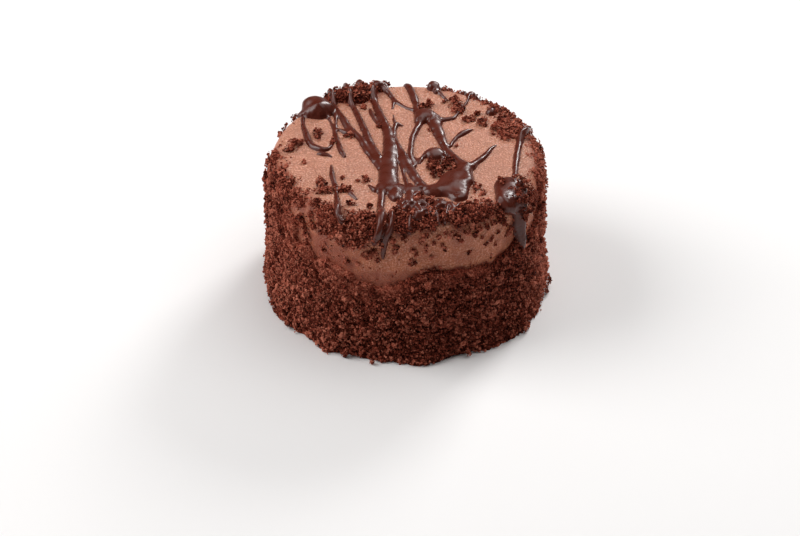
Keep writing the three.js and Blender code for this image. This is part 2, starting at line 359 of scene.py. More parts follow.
@dataclass(frozen=True)
class CakeCrumb:
    """Dark chocolate sponge, rubbed to crumbs: dull and dry, each crumb its own brown."""

    dark: str = "320b06"
    middle: str = "8e4231"
    light: str = "c2745e"
    pore: float = 0.5  # drawn coarser than the real 0.3 mm so that it shows
    contrast: float = 2.9

    def material(self) -> bpy.types.Material:
        """Builds the crumbs' material.

        Returns:
            The material. The sponge's pores are drawn in its bump and in its colour. In the
            colour their pits are painted dark, a painted shade, over the sponge's own mottling.
        """
        made, tree, shader = new_material("chocolate_sponge_crumb")
        place = add_node(tree, "ShaderNodeTexCoord").outputs["Object"]
        own = add_node(tree, "ShaderNodeAttribute", attribute_name="shade").outputs["Fac"]
        pores = add_node(
            tree, "ShaderNodeTexNoise", {"Vector": place, "Scale": per(self.pore), "Detail": 5.0}
        ).outputs[0]
        # The pores paint their pits darker, a painted shade, and the sponge between them lighter.
        specked = {0: pores, 1: self.contrast, 2: own}
        mixed = add_node(tree, "ShaderNodeMath", specked, operation="MULTIPLY_ADD").outputs[0]
        shade = add_node(
            tree, "ShaderNodeMapRange", {"Value": mixed, "From Min": 1.27, "From Max": 2.4}
        ).outputs[0]
        ramp = add_node(tree, "ShaderNodeValToRGB", {"Fac": shade})
        ramp.color_ramp.elements[0].color = linear(self.dark)
        ramp.color_ramp.elements[1].color = linear(self.light)
        ramp.color_ramp.elements.new(0.5).color = linear(self.middle)
        bump = add_node(
            tree, "ShaderNodeBump", {"Strength": 1.0, "Distance": self.pore * MM, "Height": pores}
        )
        dressing = {
            "Base Color": ramp.outputs["Color"],
            "Normal": bump.outputs[0],
            "Roughness": 0.6,
            "Specular IOR Level": 0.04,
        }
        plug(tree, shader, dressing)
        return made


@dataclass(frozen=True)
class SetGanache:
    """Dark ganache, poured warm and set: smooth, with a soft bright gloss."""

    light: str = "5e2517"
    deep: str = "491a0f"
    roughness: float = 0.27
    bloom: float = 3.0  # the size of its clouded patches
    ripple: float = 0.9  # the size of its faint waves

    def material(self) -> bpy.types.Material:
        """Builds the ganache's material.

        Returns:
            The material. As it sets, cocoa butter clouds the gloss in patches a few
            millimetres across.
        """
        made, tree, shader = new_material("set_dark_ganache")
        place = add_node(tree, "ShaderNodeTexCoord").outputs["Object"]
        drift, fine = (
            add_node(
                tree, "ShaderNodeTexNoise", {"Vector": place, "Scale": per(size), "Detail": detail}
            ).outputs[0]
            for size, detail in ((self.bloom, 3.0), (self.ripple, 2.0))
        )
        browns = {0: drift, 6: linear(self.deep), 7: linear(self.light)}
        colour = add_node(tree, "ShaderNodeMix", browns, data_type="RGBA")
        clouded = {
            "Value": drift,
            "From Min": 0.3,
            "From Max": 0.7,
            "To Min": self.roughness * 0.75,
            "To Max": self.roughness * 1.5,
        }
        dull = add_node(tree, "ShaderNodeMapRange", clouded)
        bump = add_node(
            tree, "ShaderNodeBump", {"Strength": 0.2, "Distance": 0.2 * MM, "Height": fine}
        )
        dressing = {
            "Base Color": colour.outputs[2],
            "Roughness": dull.outputs[0],
            "Normal": bump.outputs[0],
            "IOR": 1.43,
        }
        plug(tree, shader, dressing)
        return made


@dataclass(frozen=True)
class PaleTable:
    """A plain painted table top."""

    colour: str = "ebe9e8"

    def material(self) -> bpy.types.Material:
        """Builds the table's material, an even matt white that only takes shadows."""
        made, tree, shader = new_material("white_painted_table")
        white = linear(self.colour)
        plug(tree, shader, {"Base Color": white, "Roughness": 0.6, "Specular IOR Level": 0.2})
        return made


# ---------------------------------------------------------------------------- the skin


@dataclass(frozen=True)
class Skin:
    """The outside of the mousse block: a flat top, a rounded rim and an upright side.

    The top was levelled by hand, so the block is a little taller at the back left.
    """

    radius: float = 39.0
    height: float = 43.5
    rounding: float = 4.0
    droop: float = 0.35  # how far the top sinks towards its rim
    droop_width: float = 6.0
    lean: float = 0.034
    lean_way: tuple[float, float] = (-0.3, 0.95)

    @property
    def flat(self) -> float:
        """How far the flat top reaches."""
        return self.radius - self.rounding

    @property
    def rim(self) -> float:
        """The skin's distance from the axis where the side begins."""
        return self.flat + self.rounding * math.pi / 2

    @property
    def foot(self) -> float:
        """The skin's distance from the axis at the foot."""
        return self.rim + self.height - self.rounding

    def profile(self, distance: np.ndarray) -> tuple[np.ndarray, np.ndarray, np.ndarray]:
        """Follows the skin outwards from the middle of the top.

        Args:
            distance: Distances along the skin.

        Returns:
            The radius and height at each, and how far the skin tilts from level, in radians.
        """
        tilt = np.clip((distance - self.flat) / self.rounding, 0.0, math.pi / 2)
        radius = np.minimum(distance, self.flat) + self.rounding * np.sin(tilt)
        down = np.maximum(distance - self.rim, 0.0)
        down = down + self.droop * np.exp(-(((distance - self.rim) / self.droop_width) ** 2))
        return radius, self.height - self.rounding * (1.0 - np.cos(tilt)) - down, tilt

    def over(self, plan: np.ndarray, lift: np.ndarray | float) -> tuple[np.ndarray, np.ndarray]:
        """Finds places that stand clear of the skin.

        Args:
            plan: Plan points, one row each.
            lift: How far each stands out from the skin.

        Returns:
            The places, and the way out of the skin at each.
        """
        distance = from_axis(plan)
        radius, height, tilt = self.profile(distance)
        way = plan / np.maximum(distance, TINY)[:, None]
        out = np.column_stack([way * np.sin(tilt)[:, None], np.cos(tilt)])
        places = np.column_stack([way * radius[:, None], height]) + out * np.reshape(lift, (-1, 1))
        return self.leaned(places), out

    def leaned(self, places: np.ndarray) -> np.ndarray:
        """Stretches upright places to the block's uneven height."""
        towards = places[:, :2] @ np.array(self.lean_way)
        rise = 1.0 + self.lean * (0.5 + towards / (2.0 * self.radius))
        return np.column_stack([places[:, :2], places[:, 2] * rise])

    def unrolled(self, places: np.ndarray) -> np.ndarray:
        """Gives the plan points of upright places on the skin."""
        reach = from_axis(places)
        base = self.height - self.rounding
        turn = np.arctan2(reach - self.flat, np.maximum(places[:, 2] - base, TINY))
        edge = self.flat + self.rounding * np.clip(turn, 0.0, math.pi / 2)
        side = self.rim + np.maximum(base - places[:, 2], 0.0)
        distance = np.where(reach < self.flat, reach, np.where(places[:, 2] > base, edge, side))
        return places[:, :2] / np.maximum(reach, TINY)[:, None] * distance[:, None]

    def beside(self, angle: float, height: float) -> tuple[float, float]:
        """Gives the plan point of a place on the side, by angle in degrees and height."""
        distance = self.foot - height
        turn = math.radians(angle)
        return distance * math.sin(turn), -distance * math.cos(turn)


@dataclass(frozen=True)
class Patch:
    """A place on the side where the coat is thin or missing, by angle and height."""

    angle: float
    height: float
    half_angle: float
    half_height: float
    slope: float = 0.0
    bareness: float = 1.0
    blur: float = 0.12

    def bare(self, angle: np.ndarray, height: np.ndarray) -> np.ndarray:
        """Gives how much of the coat is missing at each place, from 0 to 1."""
        turn = (angle - self.angle + 180.0) % 360.0 - 180.0
        across = turn / self.half_angle
        up = (height - self.height - self.slope * turn) / self.half_height
        edge = (across**4 + up**4) ** 0.25
        return self.bareness * (1.0 - ease(1.0 - self.blur, 1.0 + self.blur, edge))


PATCHES: tuple[Patch, ...] = (
    Patch(-46.0, 35.5, 6.0, 6.0, 0.0, 0.45, 0.4), Patch(-41.0, 33.5, 6.0, 5.0, -0.4, 0.7, 0.4),
    Patch(-58.0, 34.0, 7.0, 7.0, 0.0, 0.35, 0.5), Patch(65.0, 35.0, 8.5, 7.5, 0.15, 1.0, 0.25),
    Patch(62.0, 39.5, 6.0, 7.0, 0.0, 0.95, 0.25), Patch(-66.0, 17.5, 2.2, 2.6),
    Patch(-112.0, 38.0, 20.0, 4.5, 0.05, 1.0, 0.2), Patch(178.0, 35.0, 20.0, 8.0, 0.12, 1.0, 0.2),
    Patch(128.0, 33.0, 13.0, 4.5, -0.3, 0.9, 0.25), Patch(-150.0, 24.0, 7.0, 3.5, 0.2, 0.5, 0.5),
)

# Where crumbs were pressed flat and smeared with mousse.
SMEARS: tuple[Patch, ...] = (
    Patch(-31.0, 28.5, 10.0, 7.0, -0.3, 1.0, 0.6), Patch(-14.0, 22.5, 13.0, 4.6, 0.0, 0.95, 0.6),
    Patch(22.0, 25.6, 14.0, 2.4, 0.0, 0.6, 0.6), Patch(-52.0, 29.0, 13.0, 7.0, -0.3, 0.6, 0.6),
    Patch(-100.0, 22.0, 20.0, 6.0, 0.1, 0.6, 0.6), Patch(160.0, 22.0, 18.0, 5.0, -0.1, 0.7, 0.6),
)

# The bare band at the front: an angle, its lower and upper edge, how bare it is, and how
# gradually its lower edge fades.
BAND: Rows = (
    (-44.0, 33.0, 44.0, 0.0, 1.5), (-40.0, 31.0, 41.0, 0.8, 1.6), (-34.0, 29.5, 37.5, 0.85, 1.8),
    (-29.0, 28.0, 35.5, 0.8, 2.2), (-24.0, 26.4, 35.0, 0.8, 2.4), (-19.0, 25.2, 37.5, 0.85, 2.6),
    (-14.0, 24.4, 39.5, 0.9, 2.6), (-8.0, 24.8, 41.0, 0.95, 2.6), (0.0, 26.4, 42.2, 1.0, 2.2),
    (6.0, 28.4, 42.6, 1.0, 1.4), (12.0, 29.0, 42.9, 1.0, 1.0), (22.0, 27.8, 42.2, 1.0, 0.6),
    (31.0, 27.0, 41.6, 1.0, 0.6), (38.0, 26.6, 41.4, 1.0, 0.6), (43.0, 28.0, 40.8, 1.0, 0.7),
    (48.0, 28.5, 40.0, 0.95, 0.7), (51.0, 30.0, 39.0, 0.9, 0.7), (54.0, 33.0, 34.0, 0.0, 0.7),
)

# Round the rim: an angle, how far in the crumbs reach there, how densely they lie, and how
# high they heap.
RIM: Rows = (
    (-180.0, 38.4, 0.15, 0.3), (-176.0, 38.0, 0.15, 0.3), (-173.0, 36.3, 0.70, 1.3),
    (-168.0, 33.3, 1.00, 2.2), (-162.0, 29.7, 1.00, 2.6), (-153.0, 27.8, 1.00, 2.6),
    (-146.0, 30.0, 1.00, 2.5), (-141.0, 33.8, 1.00, 2.1), (-137.0, 37.6, 0.70, 1.2),
    (-127.0, 37.8, 0.55, 1.0), (-110.0, 37.6, 0.50, 0.8), (-99.0, 37.4, 0.55, 0.6),
    (-91.0, 36.6, 0.80, 0.9), (-84.0, 35.0, 0.85, 1.0), (-67.0, 34.8, 0.85, 1.1),
    (-58.0, 35.0, 0.80, 1.0), (-48.0, 35.0, 0.90, 1.2), (-41.0, 35.0, 0.92, 1.3),
    (-34.0, 34.4, 0.95, 1.3), (-26.0, 34.0, 0.92, 1.3), (-20.0, 33.4, 0.92, 1.3),
    (-14.0, 33.0, 0.92, 1.3), (-9.0, 31.3, 0.90, 1.1), (-4.0, 27.9, 0.90, 1.0), (2.0, 25.9, 0.90, 1.1),
    (9.0, 24.8, 0.90, 1.1), (18.0, 26.9, 0.90, 1.0), (26.0, 30.0, 0.90, 0.9), (34.0, 31.6, 0.90, 0.8),
    (41.0, 33.0, 0.90, 0.8), (48.0, 36.3, 0.85, 0.8), (62.0, 38.4, 0.40, 0.5), (72.0, 37.2, 0.90, 1.0),
    (83.0, 36.8, 0.90, 1.0), (92.0, 36.3, 0.90, 1.1), (98.0, 34.3, 0.95, 0.8), (102.0, 30.1, 0.95, 0.8),
    (109.0, 28.0, 0.95, 0.7), (117.0, 29.3, 0.90, 0.6), (122.0, 32.0, 0.90, 0.4),
    (129.0, 34.3, 0.95, 0.3), (142.0, 35.2, 0.90, 0.3), (149.0, 35.8, 0.90, 0.5),
    (155.0, 35.4, 0.80, 0.7), (163.0, 35.6, 0.90, 0.9), (170.0, 37.1, 0.50, 0.8),
    (176.0, 38.1, 0.15, 0.3), (180.0, 38.4, 0.15, 0.3),
)

# How far the crumbs at the foot reach from the axis, by angle.
FOOT: Rows = (
    (-180.0, 44.2), (-150.0, 44.6), (-120.0, 43.8), (-90.0, 43.0), (-63.0, 43.3), (-52.0, 44.3),
    (-44.0, 43.6), (-36.0, 44.5), (-26.0, 45.3), (-19.0, 44.9), (-12.0, 43.5), (-4.0, 44.0),
    (3.0, 45.3), (10.0, 45.2), (18.0, 44.8), (30.0, 44.7), (37.0, 45.9), (43.0, 46.7), (52.0, 45.8),
    (59.0, 45.2), (70.0, 43.6), (77.0, 43.4), (83.0, 43.6), (92.0, 43.4), (120.0, 44.7), (150.0, 44.3),
    (165.0, 45.2), (180.0, 44.2),
)

# How much lighter the crumbs are painted, by angle: painted light where the lamps fall on the left side
# and the right edge, darker at the back left, and in part mousse smeared into the crumbs.
LIT_AND_SMEARED_TONE: Rows = (
    (-180.0, 0.0), (-165.0, -0.14), (-145.0, -0.14), (-125.0, 0.08), (-95.0, 0.24), (-60.0, 0.26),
    (-38.0, 0.2), (-18.0, 0.06), (0.0, 0.02), (55.0, -0.05), (66.0, 0.34), (82.0, 0.66), (100.0, 0.4),
    (130.0, 0.05), (180.0, 0.0),
)


@dataclass(frozen=True)
class Coat:
    """Where crumbs cover the mousse, and how thickly."""

    skin: Skin
    at_rim: float = 1.1
    at_foot: float = 2.8
    thickening: float = 1.2  # the power by which it thickens towards the foot
    proud: float = 0.8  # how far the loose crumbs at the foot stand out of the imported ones
    flare_height: float = 4.0
    fringe: float = 1.2  # half the width over which it thins out on the top
    sunk: float = 0.8  # how deep it lies in the mousse where crumbs are missing
    mottle: Noise = Noise(1.1, 2.3, 15)
    ragged: tuple[Noise, ...] = (Noise(1.1, 3.0, 16), Noise(0.6, 1.2, 17))
    hanging: float = 0.5  # how far crumbs hang over the bare band's upper edge
    swell: Noise = Noise(0.2, 7.0, 3)
    clusters: Noise = Noise(0.5, 3.4, 14)
    packing: tuple[Noise, ...] = (Noise(0.8, 2.2, 4), Noise(0.6, 1.1, 5))

    def parts(self, plan: np.ndarray) -> tuple[np.ndarray, np.ndarray, np.ndarray]:
        """Splits plan points into angle from the front, distance along the skin and height."""
        distance = from_axis(plan)
        angle = np.degrees(np.arctan2(plan[:, 0], -plan[:, 1]))
        return angle, distance, self.skin.profile(distance)[1]

    def cover(self, plan: np.ndarray) -> np.ndarray:
        """Gives how much of the skin is covered at each plan point, from 0 to 1."""
        angle, distance, height = self.parts(plan)
        edge, dense, _ = by_angle(RIM, angle)
        beside = ease(self.skin.rim - 1.0, self.skin.rim + 2.0, distance)
        within = ease(-self.fringe, self.fringe, distance - edge)
        cover = (dense + (1.0 - dense) * beside) * within
        lower = ease(self.skin.flat + 0.8, self.skin.flat + 2.4, distance)
        for bare in (self.band(angle, height), *(p.bare(angle, height) for p in PATCHES)):
            cover = np.minimum(cover, 1.0 - lower * bare)
        mottled = cover * (1.0 - cover) * self.mottle.at(laid(plan))
        return np.clip(cover + mottled, 0.0, 1.0)

    def tone(self, plan: np.ndarray) -> np.ndarray:
        """Gives how much lighter the crumbs are painted at each plan point: painted light on the left
        side and right edge, partly smeared mousse.
        """
        return by_angle(LIT_AND_SMEARED_TONE, self.parts(plan)[0])[0]

    def smear(self, plan: np.ndarray) -> np.ndarray:
        """Gives how flat the crumbs were pressed at each plan point, from 0 to 1."""
        angle, _, height = self.parts(plan)
        return np.max([patch.bare(angle, height) for patch in SMEARS], axis=0)

    def band(self, angle: np.ndarray, height: np.ndarray) -> np.ndarray:
        """Gives how much of the coat the front band leaves out, from 0 to 1."""
        under, over, bare, blur = by_angle(BAND, angle)
        along = laid(np.column_stack([np.radians(angle) * self.skin.radius, height]))
        for noise in self.ragged:
            over = over + noise.at(along)
        over = over - self.hanging
        share = bare * (1.0 - ease(over - 1.0, over + 1.0, height))
        return share * ease(under - blur, under + blur, height)

    def layer(self, plan: np.ndarray) -> np.ndarray:
        """Gives how thick the layer of crumbs is at each plan point."""
        angle, distance, height = self.parts(plan)
        edge, _, heap = by_angle(RIM, angle)
        top = heap * ease(-1.0, 4.0, distance - edge)
        down = np.clip(1.0 - height / self.skin.height, 0.0, 1.0)
        side = self.at_rim + (self.at_foot - self.at_rim) * down**self.thickening
        (reach,) = by_angle(FOOT, angle)
        spare = reach - self.skin.radius - self.at_foot - self.proud
        side += spare * np.exp(-height / self.flare_height)
        beside = ease(self.skin.flat, self.skin.rim + 3.0, distance)
        return (top + (side - top) * beside) * ease(0.3, 0.95, self.cover(plan))

    def surface(self, plan: np.ndarray) -> np.ndarray:
        """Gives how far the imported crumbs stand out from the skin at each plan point."""
        places, _ = self.skin.over(plan, 0.0)
        there = ease(0.45, 0.8, self.cover(plan))
        bumps = self.clusters.at(places)
        for noise in self.packing:
            bumps = bumps + noise.lumpy(places)
        rough = there * (1.0 - 0.65 * self.smear(plan))
        out = self.layer(plan) * (1.0 + self.swell.at(places)) + bumps * rough
        return out - self.sunk * (1.0 - there)


# ---------------------------------------------------------------------------- mousse and bed


def turned(skin: Skin, stops: np.ndarray, sunk: float, columns: int) -> bmesh.types.BMesh:
    """Spins the skin's profile round the axis into a closed block.

    Args:
        skin: The mousse's skin.
        stops: Distances along the skin, rising to the foot.
        sunk: How deep the middle of the top lies.
        columns: How many faces go round.

    Returns:
        The block, still upright, with its foot closed.
    """
    radius, height, _ = skin.profile(stops)
    shape = bmesh.new()
    line = [shape.verts.new((0.0, 0.0, skin.height - sunk))]
    line += [shape.verts.new((0.0, -float(r), float(z))) for r, z in zip(radius, height)]
    line.append(shape.verts.new((0.0, 0.0, 0.0)))
    edges = [shape.edges.new(pair) for pair in zip(line, line[1:])]
    bmesh.ops.spin(
        shape,
        geom=line + edges,
        cent=(0, 0, 0),
        axis=(0, 0, 1),
        angle=math.tau,
        steps=columns,
        use_merge=True,
    )
    bmesh.ops.remove_doubles(shape, verts=shape.verts, dist=0.001)
    bmesh.ops.recalc_face_normals(shape, faces=shape.faces)
    return shape


SAG: tuple[Noise, ...] = (Noise(0.16, 9.0, 1), Noise(0.06, 2.2, 2))


def sagging(places: np.ndarray) -> np.ndarray:
    """Gives how far the mousse's own skin wanders from a true one at each place."""
    return sum(noise.at(places) for noise in SAG)


def drape(shape: bmesh.types.BMesh, skin: Skin, lift: np.ndarray) -> None:
    """Moves a turned block's points out from the skin, and leans the whole.

    Args:
        shape: The block, changed in place.
        skin: The mousse's skin.
        lift: How far each point stands out.
    """
    places = corners_of(shape)
    onto, _ = skin.over(skin.unrolled(places), lift)
    onto[places[:, 2] < 0.001, 2] = 0.0
    middle = from_axis(places) < 1.0
    move_corners(shape, np.where(middle[:, None], skin.leaned(places), onto))


@dataclass(frozen=True)
class MousseBlock:
    """The moulded block of mousse, turned from its profile."""

    skin: Skin
    coat: Coat
    columns: int = 440
    top_rows: int = 44
    rim_rows: int = 9
    side_rows: int = 64
    hub: float = 1.2  # the radius of the middle ring of faces
    stain: Noise = Noise(0.18, 3.5, 33)
    fleck: Noise = Noise(0.16, 1.3, 34)

    def build(self, material: bpy.types.Material) -> None:
        """Makes the block: closed, with a faintly uneven skin, and rubbed with crumbs."""
        stops = [
            np.linspace(self.hub, self.skin.flat, self.top_rows, endpoint=False),
            np.linspace(self.skin.flat, self.skin.rim, self.rim_rows, endpoint=False),
            np.linspace(self.skin.rim, self.skin.foot, self.side_rows),
        ]
        shape = turned(self.skin, np.concatenate(stops), 0.0, self.columns)
        places = corners_of(shape)
        drape(shape, self.skin, sagging(places))
        plan = self.skin.unrolled(places)
        strewn = self.coat.cover(plan + 0.9 * wander(places, 2.0, 31))
        crumbed = np.maximum(strewn, 0.75 * self.coat.smear(plan))
        beside = ease(self.skin.flat + 1.0, self.skin.rim, from_axis(plan))
        crumbed = (crumbed + self.stain.at(places)) * (0.4 + 0.6 * beside)
        crumbed += beside * (0.1 + self.fleck.at(places))
        mesh = mesh_of("mousse_block", shape)
        note(mesh, "crumbed", np.clip(crumbed, 0.0, 1.0))
        # The top's share, which the material paints greyer as a painted sheen.
        note(mesh, "levelled", 1.0 - beside)
        finish_piece(mesh, material, True)


@dataclass(frozen=True)
class CrumbBed:
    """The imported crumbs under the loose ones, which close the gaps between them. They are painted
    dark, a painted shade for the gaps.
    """

    skin: Skin
    coat: Coat
    columns: int = 620
    top_rows: int = 44
    side_rows: int = 104
    inner: float = 22.0
    hollow: float = 2.0  # how deep its middle lies under the mousse's top
    sunk: float = 0.6
    # The bed is painted dark, a painted shade in the gaps between crumbs.
    painted_gap_shade: float = 0.03
    fleck: Noise = Noise(0.12, 1.4, 6)

    def build(self, material: bpy.types.Material) -> None:
        """Makes the bed. Where the coat is bare, it lies inside the mousse."""
        stops = [
            np.linspace(self.inner, self.skin.rim, self.top_rows, endpoint=False),
            np.linspace(self.skin.rim, self.skin.foot, self.side_rows),
        ]
        shape = turned(self.skin, np.concatenate(stops), self.hollow, self.columns)
        places = corners_of(shape)
        plan = self.skin.unrolled(places)
        drape(shape, self.skin, self.coat.surface(plan) - self.sunk)
        mesh = mesh_of("crumb_bed", shape)
        # Painted dark as the shade of the gaps, and lighter by angle as the crumbs are.
        shade = self.painted_gap_shade + self.fleck.at(places) + 0.5 * self.coat.tone(plan)
        note(mesh, "shade", shade + 0.5 * self.coat.smear(plan))
        finish_piece(mesh, material, False)


# ---------------------------------------------------------------------------- crumbs


class CrumbForm(Enum):
    """How a crumb broke: how many bits stick together."""

    CHUNK = 5
    LUMP = 3
    SHARD = 2
    GRAIN = 1


@dataclass(frozen=True)
class Mould:
    """One crumb's shape about the origin, with a reach of about 1."""

    corners: np.ndarray
    faces: np.ndarray


def cast_mould(form: CrumbForm, draw: np.random.Generator) -> Mould:
    """Makes one crumb shape.

    Args:
        form: How the crumb broke.
        draw: The source of its unevenness.

    Returns:
        The shape: rough bits of twenty faces each.
    """
    shape = bmesh.new()
    count = form.value
    for number in range(count):
        turn = math.tau * number / count + draw.uniform(-0.6, 0.6)
        apart = 0.0 if count == 1 else draw.uniform(0.4, 0.7)
        middle = Vector((apart * math.cos(turn), apart * math.sin(turn), draw.uniform(-0.4, 0.4)))
        size = 1.0 if count == 1 else draw.uniform(0.45, 0.72)
        stretch = Matrix.Diagonal((*(size * draw.uniform(0.6, 1.2, 3)), 1.0))
        made = bmesh.ops.create_icosphere(
            shape, subdivisions=1, radius=1.0, matrix=Matrix.Translation(middle) @ stretch
        )
        for vert in made["verts"]:
            vert.co = middle + (vert.co - middle) * draw.uniform(0.55, 1.4)
    corners = corners_of(shape)
    faces = np.array([[v.index for v in f.verts] for f in shape.faces])
    shape.free()
    return Mould(corners, faces)


@dataclass
class Spots:
    """Places for crumbs: the middle, the way out of the skin, the reach and how light."""

    at: np.ndarray
    out: np.ndarray
    reach: np.ndarray
    shade: np.ndarray


def gathered(groups: list[Spots]) -> Spots:
    """Gives the spots of all the groups together."""
    fields = zip(*(vars(group).values() for group in groups))
    return Spots(*(np.concatenate(field) for field in fields))


def random_turns(count: int, draw: np.random.Generator) -> np.ndarray:
    """Gives rotation matrices that point every way alike."""
    quats = draw.normal(size=(count, 4))
    w, x, y, z = (quats / np.linalg.norm(quats, axis=1, keepdims=True)).T
    rows = [
        [1 - 2 * (y * y + z * z), 2 * (x * y - z * w), 2 * (x * z + y * w)],
        [2 * (x * y + z * w), 1 - 2 * (x * x + z * z), 2 * (y * z - x * w)],
        [2 * (x * z - y * w), 2 * (y * z + x * w), 1 - 2 * (x * x + y * y)],
    ]
    return np.array(rows).transpose(2, 0, 1)


@dataclass(frozen=True)
class CrumbBatch:
    """Crumbs of one kind, scattered and joined into one piece."""

    name: str
    form: CrumbForm
    seed: int
    spread: float = 0.33  # how much two neighbours differ in shade
    flattened: float = 0.85
    side_reach: float = 46.9
    top_reach: float = 49.4
    moulds: int = 14

    def build(self, spots: Spots, material: bpy.types.Material) -> None:
        """Places a crumb at each spot, turned at random and pressed on a little."""
        draw = np.random.default_rng(SEED * 100 + self.seed)
        shapes = [cast_mould(self.form, draw) for _ in range(self.moulds)]
        which = draw.integers(0, self.moulds, len(spots.reach))
        shades = np.clip(draw.normal(spots.shade, self.spread), 0.0, 1.0)
        corners, faces, tones, used = [], [], [], 0
        for number, mould in enumerate(shapes):
            chosen = np.flatnonzero(which == number)
            turns = random_turns(len(chosen), draw)
            points = np.einsum("nij,kj->nki", turns, mould.corners)
            points *= spots.reach[chosen][:, None, None]
            out = spots.out[chosen][:, None, :]
            points -= (1.0 - self.flattened) * out * (points * out).sum(2, keepdims=True)
            points += spots.at[chosen][:, None, :]
            size = len(mould.corners)
            starts = used + size * np.arange(len(chosen))
            corners.append(points.reshape(-1, 3))
            faces.append((mould.faces[None] + starts[:, None, None]).reshape(-1, 3))
            tones.append(np.repeat(shades[chosen], size))
            used += size * len(chosen)
        places = self.kept_inside(np.vstack(corners))
        mesh = bpy.data.meshes.new(self.name)
        mesh.from_pydata((places * MM).tolist(), [], np.vstack(faces).tolist())
        note(mesh, "shade", np.concatenate(tones))
        finish_piece(mesh, material, False)

    def kept_inside(self, places: np.ndarray) -> np.ndarray:
        """Pulls in what stands out past the cake's reach, or below its foot."""
        shrink = np.minimum(1.0, self.side_reach / np.maximum(from_axis(places), TINY))
        places[:, :2] *= shrink[:, None]
        places[:, 2] = np.clip(places[:, 2], 0.02, self.top_reach)
        return places


@dataclass(frozen=True)
class Scatter:
    """Finds the places where crumbs stick to the mousse."""

    skin: Skin
    coat: Coat
    draw: np.random.Generator
    shade: float = 0.38
    tint: Noise = Noise(0.16, 5.0, 12)
    painted_light: float = 0.3  # how much lighter a crumb is painted for each reach that it stands out: a painted shade on crumbs deep in the coat
    smeared: float = 0.55  # the share of loose crumbs that is missing where the coat is smeared
    skew: float = 1.7  # the power by which small crumbs outnumber large ones
    deepest: float = -0.6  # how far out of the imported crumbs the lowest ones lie, in reaches
    dent: float = 0.2  # how deep a crumb presses into bare mousse, in reaches

    def spread(
        self,
        count: int,
        between: tuple[float, float],
        sizes: tuple[float, float],
        strays: float,
        proud: float,
    ) -> Spots:
        """Scatters crumbs over a belt of the skin.

        Args:
            count: How many places are tried.
            between: The belt's distances along the skin.
            sizes: The least and the largest reach of a crumb.
            strays: How readily crumbs lie where the cover is thin. At 0 they keep to it.
            proud: How far a crumb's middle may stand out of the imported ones, in reaches.

        Returns:
            The spots that keep a crumb.
        """
        stops = np.linspace(*between, 200)
        area = np.cumsum(self.skin.profile(stops)[0])
        distance = np.interp(self.draw.random(count), area / area[-1], stops)
        turn = self.draw.uniform(-math.pi, math.pi, count)
        plan = np.column_stack([distance * np.sin(turn), -distance * np.cos(turn)])
        places, _ = self.skin.over(plan, 0.0)
        strayed = (0.8 + 2.0 * strays) * wander(places, 2.6, 7)
        cover = self.coat.cover(plan + strayed)
        unsmeared = 1.0 - self.smeared * self.coat.smear(plan)
        chance = cover ** (1.0 + 0.9 * (1.0 - strays)) * unsmeared
        kept = self.draw.random(count) < chance
        small, large = sizes
        reach = small + (large - small) * self.draw.random(count) ** self.skew
        surface = np.maximum(self.coat.surface(plan), -self.dent * reach)
        height = self.draw.uniform(self.deepest, proud, count)
        at, out = self.skin.over(plan, surface + reach * height)
        # Crumbs deep in the coat are painted darker, a painted shade, and those standing out lighter.
        shade = self.shade + self.tint.at(places) + self.painted_light * height
        # Painted light by angle, partly smeared mousse.
        shade = shade + self.coat.tone(plan)
        return Spots(at[kept], out[kept], reach[kept], shade[kept])


@dataclass(frozen=True)
class Clump:
    """A loose heap of crumbs on the skin: its middle, its half widths and its height."""

    x: float
    y: float
    across: float
    along: float
    height: float = 1.3
    shade: float = 0.42
    base: float = 0.0  # how far it stands off the mousse, on what lies there

    def spots(
        self, skin: Skin, draw: np.random.Generator, sizes: tuple[float, float], filling: float
    ) -> Spots:
        """Gives the places of its crumbs, densest and highest in the middle.

        Args:
            skin: The mousse's skin.
            draw: The source of chance.
            sizes: The least and the largest reach of a crumb.
            filling: How many crumbs lie on a square millimetre.

        Returns:
            The spots.
        """
        count = max(1, round(filling * math.pi * self.across * self.along))
        turn = draw.uniform(0.0, math.tau, count)
        off = draw.random(count) ** 0.6
        lobes = 1.0 + 0.25 * np.sin(3.0 * turn + self.x) + 0.15 * np.sin(5.0 * turn + self.y)
        plan = np.column_stack(
            [
                self.x + self.across * off * lobes * np.cos(turn),
                self.y + self.along * off * lobes * np.sin(turn),
            ]
        )
        reach = draw.uniform(*sizes, count) * (1.1 - 0.4 * off)
        tall = min(self.height, 0.9 * min(self.across, self.along))
        lift = self.base + 0.25 * reach + tall * draw.random(count) * (1.0 - off**2)
        at, out = skin.over(plan, lift)
        return Spots(at, out, reach, np.full(count, self.shade))


